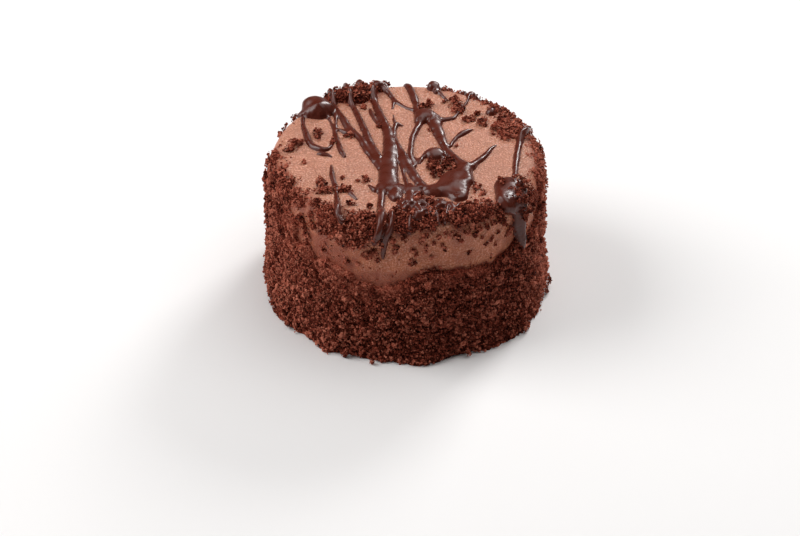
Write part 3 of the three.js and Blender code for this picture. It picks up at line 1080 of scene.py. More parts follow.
# Loose on the top, as Clump takes them.
TOP_CLUMPS: Rows = (
    (-25.7, 8.1, 1.5, 2.7), (-31.7, 3.0, 2.2, 2.6), (-33.5, -0.3, 1.8, 1.6),
    (-21.1, 3.7, 0.8, 2.2, 0.9), (-16.3, 7.0, 2.1, 0.9), (-23.8, -18.3, 1.4, 4.2),
    (-22.4, -21.9, 2.6, 1.8), (-17.2, -21.0, 2.1, 1.4), (-20.4, -21.2, 2.6, 1.1),
    (-16.2, -21.7, 1.0, 1.0), (-18.0, -15.2, 0.5, 0.8), (-11.3, -16.2, 1.3, 1.9),
    (-13.3, -16.6, 0.35, 0.4), (-14.9, -27.9, 1.4, 1.1), (-24.0, -27.2, 0.5, 0.5),
    (-10.0, -29.8, 0.7, 0.8), (-29.1, -7.2, 0.5, 0.7), (-32.1, -17.4, 1.6, 2.0),
    (4.6, 22.7, 1.6, 2.2, 1.6), (7.2, 24.6, 1.4, 2.2, 1.6), (15.1, 26.6, 1.9, 3.4, 1.6),
    (14.8, 22.4, 1.2, 1.6), (16.7, 21.4, 1.6, 1.8, 1.6), (17.9, 16.4, 1.0, 1.8), (19.7, 17.4, 1.2, 1.5),
    (21.5, 19.7, 0.9, 1.3), (23.1, 15.5, 1.6, 2.2, 1.6), (22.9, 13.6, 1.2, 1.0), (26.3, 11.3, 1.4, 2.0),
    # The three dark clumps under the arch are painted near black: partly crumbs soaked with ganache,
    # partly a painted shade under the ganache's ridge.
    (29.4, 6.8, 1.3, 2.0), (11.5, 27.2, 0.4, 0.7), (8.2, -8.3, 2.6, 3.2, 1.4, -0.1),
    (12.2, -7.3, 2.4, 2.8, 1.4, -0.1), (9.4, -12.3, 2.0, 2.6, 1.3, 0.0), (14.0, -9.2, 0.8, 1.0),
    (12.6, -11.1, 1.2, 0.8), (19.6, -19.9, 1.2, 2.2), (21.4, -21.9, 1.0, 1.6),
    (26.4, -17.8, 1.0, 1.4, 0.6, 0.42, 1.6), (-1.9, -27.2, 0.9, 0.9), (3.6, -23.8, 1.6, 1.4, 1.8),
    (11.9, 36.0, 1.3, 2.2, 2.0), (14.6, 1.5, 0.5, 0.7), (7.1, 10.1, 0.5, 0.8), (-7.9, 12.5, 0.5, 0.5),
    (-12.7, 23.6, 1.2, 1.2), (32.2, -18.2, 2.3, 2.4, 0.7, 0.34, 2.1),
    (32.8, -22.2, 2.4, 2.6, 0.7, 0.24, 2.7), (29.4, -23.4, 1.7, 2.0, 0.6, 0.12, 2.9),
    (36.0, -20.4, 2.0, 3.4, 1.0, 0.36, 1.7), (33.2, -25.6, 2.0, 1.5, 0.7, 0.16, 2.7),
    (26.9, -19.2, 0.9, 1.5, 0.4, 0.36, 1.7),
    # Among and over the ganache of the front rim. Those with a shade below 0 are painted dark, a
    # painted shade for the gaps between the rim's crumbs.
    (-2.4, -32.4, 1.8, 0.8, 0.6, 0.2, 1.6), (2.6, -33.6, 1.4, 0.8, 0.6, -0.1, 1.6),
    (7.4, -33.0, 1.8, 0.8, 0.6, 0.2, 1.6), (5.8, -27.8, 1.2, 1.0, 0.6, -0.1, 1.3),
    (15.4, -31.4, 1.6, 0.9, 0.6, -0.15, 1.5), (21.6, -30.4, 1.6, 0.9, 0.6, -0.15, 1.3),
    (26.4, -29.8, 1.4, 0.9, 0.6, -0.15, 1.2), (-11.6, -33.6, 1.5, 1.0, 0.6, -0.15, 1.3),
    (-24.6, -27.6, 1.6, 1.0, 0.6, -0.1, 1.3), (-9.6, 36.4, 2.6, 1.6, 1.8, 0.2, 1.0),
    (-6.4, 36.6, 1.4, 1.3, 1.6, 0.2, 1.0), (-33.4, 21.4, 1.3, 1.5, 1.8, 0.3, 0.7),
    (-36.6, 17.0, 1.2, 1.4, 1.4, 0.3, 0.6), (-37.6, 11.5, 0.9, 1.2, 1.2),
    (-31.2, 26.2, 1.3, 1.2, 2.0, 0.3, 0.8), (-27.6, 30.4, 1.3, 1.1, 1.8, 0.3, 0.6),
    (-23.6, 33.4, 1.5, 1.2, 2.0),
)

# Stuck to the bare side: angle, height, and half widths.
SIDE_CLUMPS: Rows = (
    (-13.5, 35.0, 2.3, 2.0), (-17.0, 33.5, 1.2, 1.2), (-11.5, 32.5, 0.8, 0.9), (-4.0, 36.2, 1.0, 1.9),
    (2.8, 36.6, 1.2, 0.8), (4.2, 35.0, 0.6, 0.8), (2.2, 32.2, 0.9, 1.4), (8.2, 37.0, 0.6, 1.6),
    (11.0, 38.6, 0.7, 0.6), (14.5, 37.4, 0.6, 0.7), (20.5, 39.4, 1.2, 1.2), (25.0, 40.0, 1.4, 0.8),
    (29.0, 38.6, 0.5, 0.8), (26.5, 33.0, 0.6, 0.4), (34.8, 33.8, 1.1, 0.6), (37.4, 35.0, 0.6, 1.6),
    (39.4, 32.4, 0.6, 0.7), (34.5, 39.8, 0.9, 0.8), (42.0, 40.2, 1.8, 2.0), (44.5, 37.6, 1.2, 1.0),
    (47.0, 34.0, 0.8, 2.4), (58.5, 36.6, 0.7, 1.2), (58.5, 31.0, 1.0, 2.0), (67.0, 38.0, 0.5, 0.8),
    (-9.0, 38.2, 0.9, 1.0), (-5.5, 39.6, 1.1, 0.9), (-1.0, 40.2, 1.0, 0.7), (6.0, 39.2, 0.7, 1.0),
    (8.0, 41.0, 1.2, 0.9), (13.0, 40.2, 1.0, 0.7), (17.0, 40.8, 1.3, 1.0), (16.0, 35.8, 0.4, 0.5),
    (22.8, 37.6, 0.5, 0.6), (28.0, 40.8, 1.2, 0.9), (31.6, 40.0, 0.8, 1.2), (32.6, 36.6, 0.4, 0.5),
    (37.8, 40.0, 1.2, 0.9), (40.4, 36.0, 0.5, 0.5), (10.4, 33.6, 0.4, 0.4), (-20.0, 30.0, 0.5, 0.6),
    (-45.0, 33.0, 1.4, 1.6), (-20.0, 40.6, 2.4, 1.6), (-15.0, 41.0, 2.0, 1.2), (-40.5, 38.0, 1.0, 1.6),
    (-48.0, 38.0, 1.0, 1.6), (-51.0, 42.0, 1.0, 1.4), (-42.0, 40.5, 0.8, 1.0), (-36.5, 40.0, 1.6, 1.6),
    (-31.0, 38.5, 3.0, 2.4), (-26.0, 37.0, 2.4, 2.4), (-22.0, 35.6, 1.4, 1.2), (-24.0, 30.0, 0.9, 0.8),
    (-36.0, 31.5, 0.8, 1.0),
)

# Knots of crumbs painted near black, partly dark crumbs and partly a painted shade for the coat's deep
# hollows: angle, height and half widths.
DARK_CLUMPS: Rows = (
    (-47.8, 25.5, 1.3, 1.4), (-66.0, 20.0, 1.1, 1.5), (-72.0, 12.0, 1.2, 1.4), (-56.0, 4.2, 2.4, 1.2),
    (-17.3, 12.5, 1.5, 1.2), (-22.6, 1.6, 2.8, 0.9), (-28.6, 6.5, 2.0, 1.1), (-37.4, 39.5, 0.7, 0.7),
    (-63.0, 36.5, 1.2, 2.4), (-75.0, 34.0, 1.1, 2.0), (-70.0, 41.0, 1.6, 1.4), (-58.0, 41.5, 1.3, 1.2),
    (-82.0, 39.0, 1.2, 1.6), (-78.0, 26.0, 1.2, 1.5), (-41.0, 14.0, 1.4, 1.1), (-36.0, 21.0, 1.0, 0.9),
    (-59.0, 29.0, 0.9, 1.2), (1.7, 5.0, 1.8, 1.0), (17.7, 3.5, 2.2, 0.9), (-0.3, 20.9, 1.6, 0.9),
    (13.0, 19.5, 1.3, 0.8), (30.0, 8.0, 1.6, 1.1), (40.2, 17.1, 1.6, 1.2), (52.0, 22.0, 1.2, 1.4),
    (62.0, 14.0, 1.1, 1.6), (71.0, 22.0, 1.1, 1.5), (77.0, 31.0, 1.0, 1.8), (140.0, 12.0, 2.2, 1.5),
    (-170.0, 16.0, 1.8, 1.6), (-125.0, 10.0, 2.0, 1.5),
)

# Fallen against the foot: angle, height, half widths and how far it stands off the mousse.
FOOT_CLUMPS: Rows = (
    (81.0, 2.7, 1.7, 1.3, 4.6), (76.0, 1.6, 1.8, 1.0, 4.2), (43.0, 1.6, 2.0, 1.0, 4.8),
    (24.0, 1.4, 1.4, 0.8, 4.8), (4.0, 1.4, 1.8, 0.9, 4.8), (-23.0, 1.6, 2.4, 1.0, 4.8),
    (-12.4, 0.9, 1.3, 0.9, 5.4), (50.0, 1.4, 1.6, 0.9, 5.6), (-52.0, 1.4, 1.4, 0.9, 4.2),
    (-150.0, 2.0, 3.0, 1.4, 4.4), (165.0, 2.2, 3.0, 1.5, 4.4), (118.0, 2.0, 2.6, 1.4, 4.2),
)


# ---------------------------------------------------------------------------- ganache


REACH = 4.0  # how far beyond its edge a drop or a pool still counts, for smooth joins
THREAD_REACH = 6.0  # the same for a thread, from its middle line
THREAD_RISE = 1.75  # the height that the widest threads come near
SLUMP = 2.6  # how fast a thread's height grows with its width
THREAD_STEP = 0.15  # how close a thread's points are made
POOL_STEP = 0.2  # how close an outline's points are made


@dataclass(frozen=True)
class Poured:
    """What one thread, drop or pool gives each plan point.

    Attributes:
        inside: How far each point lies inside its edge.
        half: The half width that it rises over.
        height: Its full height.
    """

    inside: np.ndarray
    half: np.ndarray
    height: np.ndarray


def nearest(plan: np.ndarray, line: np.ndarray) -> tuple[np.ndarray, np.ndarray]:
    """Finds each plan point's distance to a line of close points, and which is nearest."""
    gaps = np.full(len(plan), 1e9)
    which = np.zeros(len(plan), dtype=int)
    for number, (x, y) in enumerate(line[:, :2]):
        gap = (plan[:, 0] - x) ** 2 + (plan[:, 1] - y) ** 2
        closer = gap < gaps
        gaps[closer] = gap[closer]
        which[closer] = number
    return np.sqrt(gaps), which


def boxed(plan: np.ndarray, corners: np.ndarray, margin: float) -> np.ndarray:
    """Tells which plan points lie within margin of the corners' box."""
    low, high = corners.min(axis=0) - margin, corners.max(axis=0) + margin
    return ((plan > low) & (plan < high)).all(axis=1)


@dataclass(frozen=True)
class Strand:
    """A thread of ganache: plan points with the width at each, and how high it stands."""

    points: Rows
    rise: float = 1.0

    def near(self, plan: np.ndarray) -> np.ndarray:
        """Tells which plan points the thread may reach."""
        return boxed(plan, np.array(self.points)[:, :2], THREAD_REACH)

    def poured(self, plan: np.ndarray) -> Poured:
        """Gives the thread's depth and height at the plan points. Wide threads slump."""
        line = smooth_line(np.array(self.points), THREAD_STEP)
        gap, which = nearest(plan, line)
        width = line[which, 2]
        height = THREAD_RISE * self.rise * (1.0 - np.exp(-width / SLUMP))
        return Poured(width / 2.0 - gap, width / 2.0, height)


@dataclass(frozen=True)
class Drop:
    """A drop of ganache: its middle, half widths and height."""

    x: float
    y: float
    across: float
    along: float
    height: float

    def near(self, plan: np.ndarray) -> np.ndarray:
        """Tells which plan points the drop may reach."""
        return boxed(plan, np.array([[self.x, self.y]]), REACH + max(self.across, self.along))

    def poured(self, plan: np.ndarray) -> Poured:
        """Gives the drop's depth and height at the plan points."""
        u, v = plan[:, 0] - self.x, plan[:, 1] - self.y
        ring = np.hypot(u / self.across, v / self.along)
        slope = np.hypot(u / self.across**2, v / self.along**2)
        least = min(self.across, self.along)
        inside = np.minimum((1.0 - ring) * ring / np.maximum(slope, TINY), least)
        even = np.ones(len(plan))
        return Poured(inside, least * even, self.height * even)


@dataclass(frozen=True)
class Pool:
    """A pool of ganache: its outline, its height and how far in it reaches that height."""

    outline: Rows
    height: float
    shoulder: float

    def near(self, plan: np.ndarray) -> np.ndarray:
        """Tells which plan points the pool may reach."""
        return boxed(plan, np.array(self.outline), REACH)

    def poured(self, plan: np.ndarray) -> Poured:
        """Gives the pool's depth and height at the plan points."""
        line = smooth_line(np.array(self.outline), POOL_STEP, closed=True)
        gap, _ = nearest(plan, line)
        within = np.zeros(len(plan), dtype=bool)
        for (x0, y0), (x1, y1) in zip(line, np.roll(line, -1, axis=0)):
            crosses = (y0 > plan[:, 1]) != (y1 > plan[:, 1])
            if crosses.any():
                meets = x0 + (plan[:, 1] - y0) / (y1 - y0 + 1e-12) * (x1 - x0)
                within ^= crosses & (plan[:, 0] < meets)
        even = np.ones(len(plan))
        return Poured(np.where(within, gap, -gap), self.shoulder * even, self.height * even)


STRANDS: tuple[Strand, ...] = (
    # From the big blob at the back left: the loop and the threads beside it.
    Strand(((-30.5, 16.9, 1.2), (-30.3, 13.5, 1.2), (-29.6, 10.2, 1.6), (-28.7, 6.5, 2.0),
        (-27.9, 3.6, 2.0), (-26.9, 1.7, 2.1), (-25.3, 0.2, 2.1), (-23.7, -0.5, 1.8), (-22.4, -0.1, 1.3),
        (-21.7, 1.3, 1.1), (-21.5, 3.5, 1.0), (-21.3, 5.6, 0.8), (-20.9, 7.5, 0.7))),
    Strand(((-23.3, 18.5, 1.3), (-22.4, 15.6, 1.0), (-21.5, 12.8, 0.9), (-20.9, 10.4, 0.8),
        (-20.8, 7.9, 0.7))),
    Strand(((-25.3, -2.5, 0.8), (-24.1, -2.6, 1.5), (-22.7, -3.1, 1.4), (-21.1, -4.3, 0.6))),
    Strand(((-21.2, 20.9, 1.3), (-20.7, 16.5, 1.0), (-20.6, 12.2, 0.9), (-20.5, 9.3, 1.0),
        (-20.0, 6.4, 1.1), (-19.5, 3.5, 1.3), (-18.9, 0.1, 1.5), (-18.2, -2.3, 1.6),
        (-17.5, -4.1, 1.0))),
    Strand(((-22.5, 31.5, 1.1), (-21.8, 28.1, 1.0), (-21.4, 24.7, 1.1), (-20.7, 22.4, 1.3),
        (-19.9, 19.9, 1.6), (-19.1, 18.0, 1.9), (-18.0, 15.1, 2.1), (-16.9, 12.2, 2.3),
        (-15.6, 9.8, 2.4), (-14.1, 7.4, 2.0), (-12.9, 4.9, 2.0), (-11.8, 2.0, 2.3), (-10.7, -0.7, 2.7),
        (-9.5, -3.2, 2.9), (-8.2, -6.1, 2.8), (-7.0, -9.5, 2.6))),
    Strand(((-20.3, 10.9, 0.7), (-19.1, 10.4, 1.2), (-17.8, 9.5, 1.9), (-16.5, 9.0, 2.2),
        (-15.3, 9.1, 1.8))),
    Strand(((-17.9, 33.4, 0.9), (-17.3, 30.1, 1.0), (-16.6, 27.2, 1.2), (-16.0, 24.3, 1.4),
        (-15.2, 21.9, 1.6), (-14.4, 19.3, 1.8), (-13.5, 16.1, 1.9), (-12.6, 12.7, 2.1),
        (-11.7, 9.7, 2.2), (-11.0, 6.5, 2.3), (-10.3, 3.6, 2.4), (-9.7, 1.1, 2.6), (-8.9, -1.6, 2.9),
        (-8.0, -4.6, 2.9))),
    Strand(((-10.7, 22.3, 0.8), (-10.1, 20.0, 1.3), (-9.4, 17.4, 1.1), (-8.7, 15.2, 1.0),
        (-7.8, 13.3, 1.1))),
    # The trunk and its branches.
    Strand(((-9.7, 31.1, 1.4), (-9.3, 27.2, 1.9), (-8.7, 23.9, 2.1), (-7.9, 20.5, 2.3),
        (-7.2, 17.6, 2.4), (-6.4, 14.7, 2.5), (-5.7, 11.8, 2.7), (-5.1, 8.9, 3.1), (-4.8, 6.0, 3.5),
        (-4.6, 2.7, 3.9), (-4.4, -1.2, 4.2), (-4.5, -5.1, 4.6), (-4.8, -9.0, 5.3), (-4.9, -12.8, 5.5),
        (-4.8, -16.7, 5.7), (-4.5, -20.1, 6.2))),
    Strand(((-6.0, 33.5, 1.5), (-5.0, 31.6, 1.6), (-4.2, 29.7, 1.5), (-3.1, 27.3, 1.4),
        (-1.8, 25.4, 1.2), (-0.3, 23.7, 1.1), (1.2, 22.4, 1.0), (2.6, 21.5, 1.1))),
    Strand(((-3.6, 26.8, 0.9), (-3.7, 24.9, 0.8), (-3.9, 22.6, 0.5))),
    Strand(((-3.6, 18.7, 0.4), (-3.5, 16.6, 0.5), (-3.2, 14.9, 0.8))),
    Strand(((-0.9, 12.8, 0.6), (-1.8, 13.2, 1.2), (-2.7, 13.6, 1.7), (-3.0, 12.0, 1.5),
        (-3.3, 9.9, 1.4), (-3.5, 7.5, 1.6), (-3.0, 4.6, 1.7), (-2.2, 1.7, 1.8), (-1.3, -1.2, 2.1),
        (-0.6, -3.6, 2.5), (0.1, -6.4, 2.8), (0.9, -9.1, 3.0), (1.8, -12.0, 2.9), (2.9, -14.9, 2.7),
        (3.9, -17.4, 2.7), (5.2, -19.9, 3.0))),
    Strand(((-1.7, -4.7, 1.0), (-1.0, -9.5, 0.9), (-0.3, -14.4, 1.0), (0.5, -19.0, 1.3))),
    # The arch.
    Strand(((0.1, 37.8, 1.7), (1.2, 35.2, 2.2), (2.1, 31.9, 2.3), (2.8, 28.3, 2.3), (3.3, 25.4, 2.1),
        (3.3, 22.8, 2.0), (3.7, 19.9, 2.4))),
    Strand(((4.6, 16.3, 2.8), (3.9, 13.2, 2.1), (2.9, 9.9, 2.0), (2.1, 6.6, 1.8), (1.7, 3.5, 1.6),
        (1.5, 0.6, 1.5), (1.4, -2.3, 1.6), (1.7, -5.2, 1.7), (2.3, -8.3, 1.9))),
    Strand(((8.5, 16.7, 4.2), (8.9, 13.0, 3.9), (9.7, 9.0, 3.5), (10.4, 5.7, 3.0), (11.1, 2.8, 2.6),
        (11.9, -0.1, 2.2), (13.0, -2.6, 2.4), (14.5, -5.5, 2.8), (16.4, -8.4, 3.6))),
    Strand(((10.0, 16.0, 1.9), (12.1, 16.6, 1.6), (14.1, 17.4, 1.4), (15.2, 19.3, 1.1),
        (16.0, 21.2, 1.0))),
    Strand(((16.0, 22.2, 0.7), (16.5, 23.7, 0.8), (17.1, 24.9, 0.7))),
    Strand(((17.6, 24.1, 0.6), (18.3, 26.1, 0.8), (19.0, 28.6, 0.8), (19.6, 31.7, 0.8))),
    Strand(((10.3, 32.5, 1.2), (11.3, 30.4, 1.1), (12.6, 27.9, 0.8))),
    Strand(((12.9, 1.9, 1.2), (13.6, 3.8, 1.2), (14.5, 5.7, 1.4), (15.6, 7.4, 1.8), (16.9, 8.9, 2.0),
        (18.3, 10.0, 1.6), (19.8, 11.1, 0.5))),
    Strand(((6.0, -2.7, 1.9), (4.9, -4.2, 1.5), (4.0, -5.7, 1.5), (3.1, -5.3, 1.2), (2.2, -4.4, 1.2))),
    Strand(((4.0, -5.9, 1.3), (3.9, -7.1, 0.6))),
    Strand(((10.9, -4.6, 0.8), (10.8, -7.9, 0.7), (10.3, -11.4, 0.7))),
    # The two spurs to the right.
    Strand(((18.4, -9.1, 3.2), (19.2, -8.0, 2.7), (20.4, -6.5, 2.2), (21.7, -4.8, 2.2),
        (22.9, -3.0, 1.9), (23.9, -1.2, 1.4), (24.9, 0.6, 1.2), (26.3, 2.5, 0.5))),
    Strand(((35.9, 11.6, 0.5), (34.9, 9.4, 1.2), (33.7, 6.9, 1.7), (33.2, 4.0, 1.8), (32.7, 1.1, 1.9),
        (32.2, -1.8, 1.9), (31.8, -4.8, 1.8), (31.3, -8.6, 1.6), (30.9, -13.5, 1.6))),
    # The threads at the front left.
    Strand(((-21.2, -8.7, 0.5), (-20.9, -11.5, 1.3), (-20.6, -14.4, 1.5), (-20.0, -17.3, 1.5),
        (-19.4, -20.2, 1.4), (-19.2, -23.2, 1.3), (-18.9, -26.1, 1.3), (-18.5, -29.0, 1.3),
        (-18.4, -31.4, 1.1), (-18.0, -33.2, 0.9), (-17.2, -34.4, 0.5))),
    Strand(((-16.3, -20.1, 0.9), (-15.6, -22.1, 1.2), (-14.7, -23.8, 1.2), (-13.7, -25.5, 0.8))),
    Strand(((-10.4, -18.8, 0.6), (-9.5, -20.1, 1.1), (-8.5, -21.2, 1.6), (-6.8, -21.0, 2.4))),
    # The runs over the front rim and down the side.
    Strand(((-6.7, -19.7, 2.4), (-6.7, -23.5, 2.1), (-6.8, -27.4, 2.0), (-6.9, -31.3, 1.8),
        (-6.5, -35.2, 1.7), (-7.0, -38.2, 1.8), (-8.5, -40.5, 1.9), (-9.4, -42.1, 1.2))),
    Strand(((-3.9, -33.8, 0.9), (-3.8, -37.1, 1.0), (-5.0, -39.4, 1.5), (-6.4, -42.6, 1.7),
        (-7.2, -45.2, 1.5), (-7.6, -46.9, 0.9))),
    Strand(((1.4, -18.1, 1.1), (1.3, -20.6, 1.8), (1.1, -24.0, 2.3), (0.9, -26.8, 2.3),
        (1.2, -29.5, 1.5))),
    Strand(((2.2, -26.8, 1.0), (2.7, -28.7, 1.3), (3.4, -31.2, 1.3), (4.1, -34.0, 1.2))),
    Strand(((1.1, -35.3, 0.6), (0.9, -39.0, 0.5))),
    Strand(((5.9, -29.9, 0.6), (6.4, -32.0, 0.6), (6.9, -33.7, 0.6))),
    Strand(((12.6, -28.2, 0.9), (11.6, -30.2, 0.8), (11.1, -32.5, 0.6), (10.5, -35.5, 0.6))),
    Strand(((2.4, -24.0, 0.9), (3.0, -22.7, 1.4), (4.2, -22.1, 1.2))),
    Strand(((9.0, -25.7, 0.7), (10.2, -26.9, 1.3))),
    Strand(((32.5, -24.0, 4.4), (35.6, -27.0, 4.4), (38.3, -28.8, 3.8), (40.7, -30.2, 3.0),
        (42.7, -31.2, 2.0), (43.9, -31.7, 1.0)), 0.8),
    # Fine threads among the crumbs of the front rim.
    Strand(((-2.6, -31.0, 0.8), (-1.4, -29.0, 1.1), (0.4, -28.4, 0.8))),
    Strand(((2.6, -31.6, 0.7), (4.6, -32.8, 1.1), (6.4, -32.2, 0.7))),
    Strand(((10.4, -27.6, 0.7), (12.4, -29.8, 1.2), (13.0, -32.2, 0.6))),
    Strand(((-1.6, -24.0, 0.7), (-0.9, -27.2, 0.9), (-1.2, -30.6, 0.7), (-0.6, -33.4, 0.5))),
    Strand(((4.4, -24.8, 0.6), (5.2, -27.4, 0.9), (4.8, -30.0, 0.6))),
    Strand(((7.4, -26.0, 0.5), (8.3, -29.2, 0.8), (8.0, -32.4, 0.7), (8.8, -36.0, 0.4))),
    Strand(((12.2, -33.0, 0.4), (13.8, -30.6, 0.7), (14.8, -28.4, 0.4))),
)

DROPS: tuple[Drop, ...] = (
    Drop(-31.0, 19.4, 1.1, 1.3, 1.2), Drop(8.4, -2.5, 3.1, 2.8, 1.8), Drop(-2.9, -23.3, 1.9, 3.6, 1.3),
    Drop(3.2, -34.6, 1.0, 1.0, 1.2), Drop(9.6, -30.8, 1.1, 0.9, 1.1), Drop(0.2, -31.6, 1.0, 1.3, 1.1),
    Drop(4.2, -29.4, 1.1, 0.8, 1.0), Drop(8.6, 35.0, 2.0, 1.9, 2.0), Drop(9.3, 33.1, 0.8, 1.6, 1.0),
    Drop(25.5, 20.7, 1.4, 1.6, 1.3), Drop(-23.2, 34.0, 1.2, 1.4, 1.6), Drop(-7.6, 35.2, 1.9, 1.0, 0.9),
    Drop(-13.5, 35.4, 1.2, 1.2, 0.8), Drop(20.1, 31.9, 1.2, 1.2, 0.8), Drop(14.4, -24.5, 2.2, 1.6, 1.4),
)

POOLS: tuple[Pool, ...] = (
    Pool(((-30.8, 21.7), (-30.4, 18.4), (-28.4, 16.8), (-25.1, 16.2), (-23.3, 17.2), (-21.2, 20.2),
        (-21.4, 22.0), (-22.9, 24.3), (-25.4, 26.1), (-28.3, 26.4), (-30.3, 24.6)), 3.4, 3.6),
    Pool(((24.9, -17.8), (26.0, -16.0), (28.4, -15.0), (31.0, -15.3), (33.4, -17.4), (34.2, -20.4),
        (33.9, -23.8), (32.2, -26.6), (29.4, -28.0), (26.8, -27.8), (25.2, -25.6), (24.8, -21.6)),
        1.5, 1.7),
    Pool(((2.7, 16.8), (3.0, 19.2), (4.2, 20.5), (6.2, 21.1), (8.2, 20.4), (9.6, 18.6), (10.3, 16.3),
        (10.6, 14.0), (7.2, 13.8), (6.2, 15.0), (5.2, 14.0), (2.9, 14.3)), 1.9, 2.4),
    Pool(((13.8, -3.5), (15.6, -6.7), (17.5, -7.4), (19.3, -8.9), (18.9, -12.6), (19.1, -17.0),
        (17.8, -19.9), (17.2, -24.3), (15.8, -25.7), (13.6, -25.5), (11.0, -24.0), (8.5, -24.0),
        (6.0, -23.4), (4.5, -21.5), (3.0, -21.3), (3.2, -19.8), (6.2, -19.2), (8.4, -17.8),
        (9.4, -15.4), (10.6, -13.3), (12.6, -11.7), (14.4, -10.0), (14.6, -6.9)), 2.0, 3.0),
    Pool(((-8.2, -19.1), (-6.0, -18.3), (-1.6, -18.3), (0.4, -19.2), (3.6, -19.8), (4.0, -21.3),
        (2.6, -22.1), (-0.2, -22.5), (-1.0, -21.9), (-4.4, -22.0), (-7.6, -21.8)), 1.2, 1.6),
)


@dataclass(frozen=True)
class Drizzle:
    """The ganache: threads, drops and pools that ran together as they set."""

    skin: Skin
    coat: Coat
    cell: float = 0.235  # the size of its surface's faces
    half_field: float = 50.0
    merge: float = 3.4  # how sharply two edges meet; a smaller value fills a corner more
    over_crumbs: float = 0.55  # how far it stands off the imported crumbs
    bridge: float = 1.2  # how far apart the crumbs are that it spans
    sunk: float = 1.0
    margin: float = 0.5  # how far beyond its edge the surface still dips under the mousse
    ragged: tuple[Noise, ...] = (Noise(0.07, 1.6, 9), Noise(0.05, 0.8, 10))
    uneven: Noise = Noise(0.12, 3.2, 11)

    def build(self, material: bpy.types.Material) -> None:
        """Makes the drizzle as one surface, thick in the middle and steep at its edges."""
        shape = bmesh.new()
        cells = round(2 * self.half_field / self.cell)
        bmesh.ops.create_grid(shape, x_segments=cells, y_segments=cells, size=self.half_field)
        inside, _ = self.pour(np.array([v.co.xy for v in shape.verts]))
        away = [vert for vert, depth in zip(shape.verts, inside) if depth < -self.margin]
        bmesh.ops.delete(shape, geom=away, context="VERTS")
        lonely = [vert for vert in shape.verts if not vert.link_faces]
        bmesh.ops.delete(shape, geom=lonely, context="VERTS")
        made = bmesh.ops.extrude_face_region(shape, geom=list(shape.faces), use_keep_orig=True)
        for part in made["geom"]:
            if isinstance(part, bmesh.types.BMVert):
                part.co.z = 1.0
        flat = corners_of(shape)
        plan = flat[:, :2]
        _, rise = self.pour(plan)
        base = sagging(self.skin.over(plan, 0.0)[0])
        lift = np.where(flat[:, 2] > 0.5, base + self.bed(plan) + rise, -self.sunk)
        move_corners(shape, self.skin.over(plan, lift)[0])
        bmesh.ops.recalc_face_normals(shape, faces=shape.faces)
        mesh = mesh_of("ganache_drizzle", shape)
        finish_piece(mesh, material, True)

    def bed(self, plan: np.ndarray) -> np.ndarray:
        """Gives how high the ganache is carried by the crumbs under it, whose gaps it spans.

        Args:
            plan: Plan points, one row each.

        Returns:
            The height of its underside off the mousse.
        """
        total = np.zeros(len(plan))
        for step in product((-self.bridge, 0.0, self.bridge), repeat=2):
            near = plan + np.array(step)
            total += self.coat.layer(near)
            total += self.over_crumbs * ease(0.1, 0.6, self.coat.cover(near))
        return total / 9.0

    def pour(self, plan: np.ndarray) -> tuple[np.ndarray, np.ndarray]:
        """Runs all the ganache together over the plan.

        Args:
            plan: Plan points, one row each.

        Returns:
            How far each point lies inside the ganache's edge, and the ganache's height there.
            Outside, the depth and the height are below 0.
        """
        weight = np.full(len(plan), 1e-12)
        half = np.zeros(len(plan))
        height = np.zeros(len(plan))
        for part in (*STRANDS, *DROPS, *POOLS):
            near = np.flatnonzero(part.near(plan))
            poured = part.poured(plan[near])
            share = np.exp(self.merge * np.minimum(poured.inside, 8.0))
            weight[near] += share
            half[near] += share * poured.half
            height[near] += share * poured.height
        inside = np.log(weight) / self.merge
        flat = laid(plan)
        inside += sum(noise.at(flat) for noise in self.ragged)
        share = np.clip(inside / np.maximum(half / weight, 0.2), 0.0, 1.0)
        uneven = 1.0 + self.uneven.at(flat)
        rise = uneven * height / weight * np.sqrt(share * (2.0 - share))
        return inside, np.where(inside > 0.0, rise, inside)


def smooth_line(points: np.ndarray, step: float, closed: bool = False) -> np.ndarray:
    """Rounds a line of points into a smooth one that passes through each.

    Args:
        points: One row a point, with plan x and y first.
        step: About how far apart the new points are.
        closed: Whether the line runs back to its first point.

    Returns:
        The close points, in the same columns.
    """
    if closed:
        ends = np.vstack([points[-1:], points, points[:2]])
    else:
        ends = np.vstack([2 * points[0] - points[1], points, 2 * points[-1] - points[-2]])
    made = []
    for a, b, c, d in zip(ends, ends[1:], ends[2:], ends[3:]):
        count = max(2, int(math.hypot(*(c - b)[:2]) / step))
        t = np.linspace(0.0, 1.0, count, endpoint=False)[:, None]
        cubic = 3 * b - a - 3 * c + d
        made.append(b + 0.5 * ((c - a) * t + (2 * a - 5 * b + 4 * c - d) * t**2 + cubic * t**3))
    if not closed:
        made.append(points[-1:])
    return np.vstack(made)


# ---------------------------------------------------------------------------- studio


def aim(thing: bpy.types.Object, place: Place, target: Place) -> None:
    """Stands a light or a camera at its place and turns it to its target."""
    thing.location = place
    way = Vector(target) - Vector(place)
    thing.rotation_euler = way.to_track_quat("-Z", "Y").to_euler()


@dataclass(frozen=True)
class SoftLight:
    """A square white soft box, aimed at the cake."""

    name: str
    place: Place
    size: float
    power: float


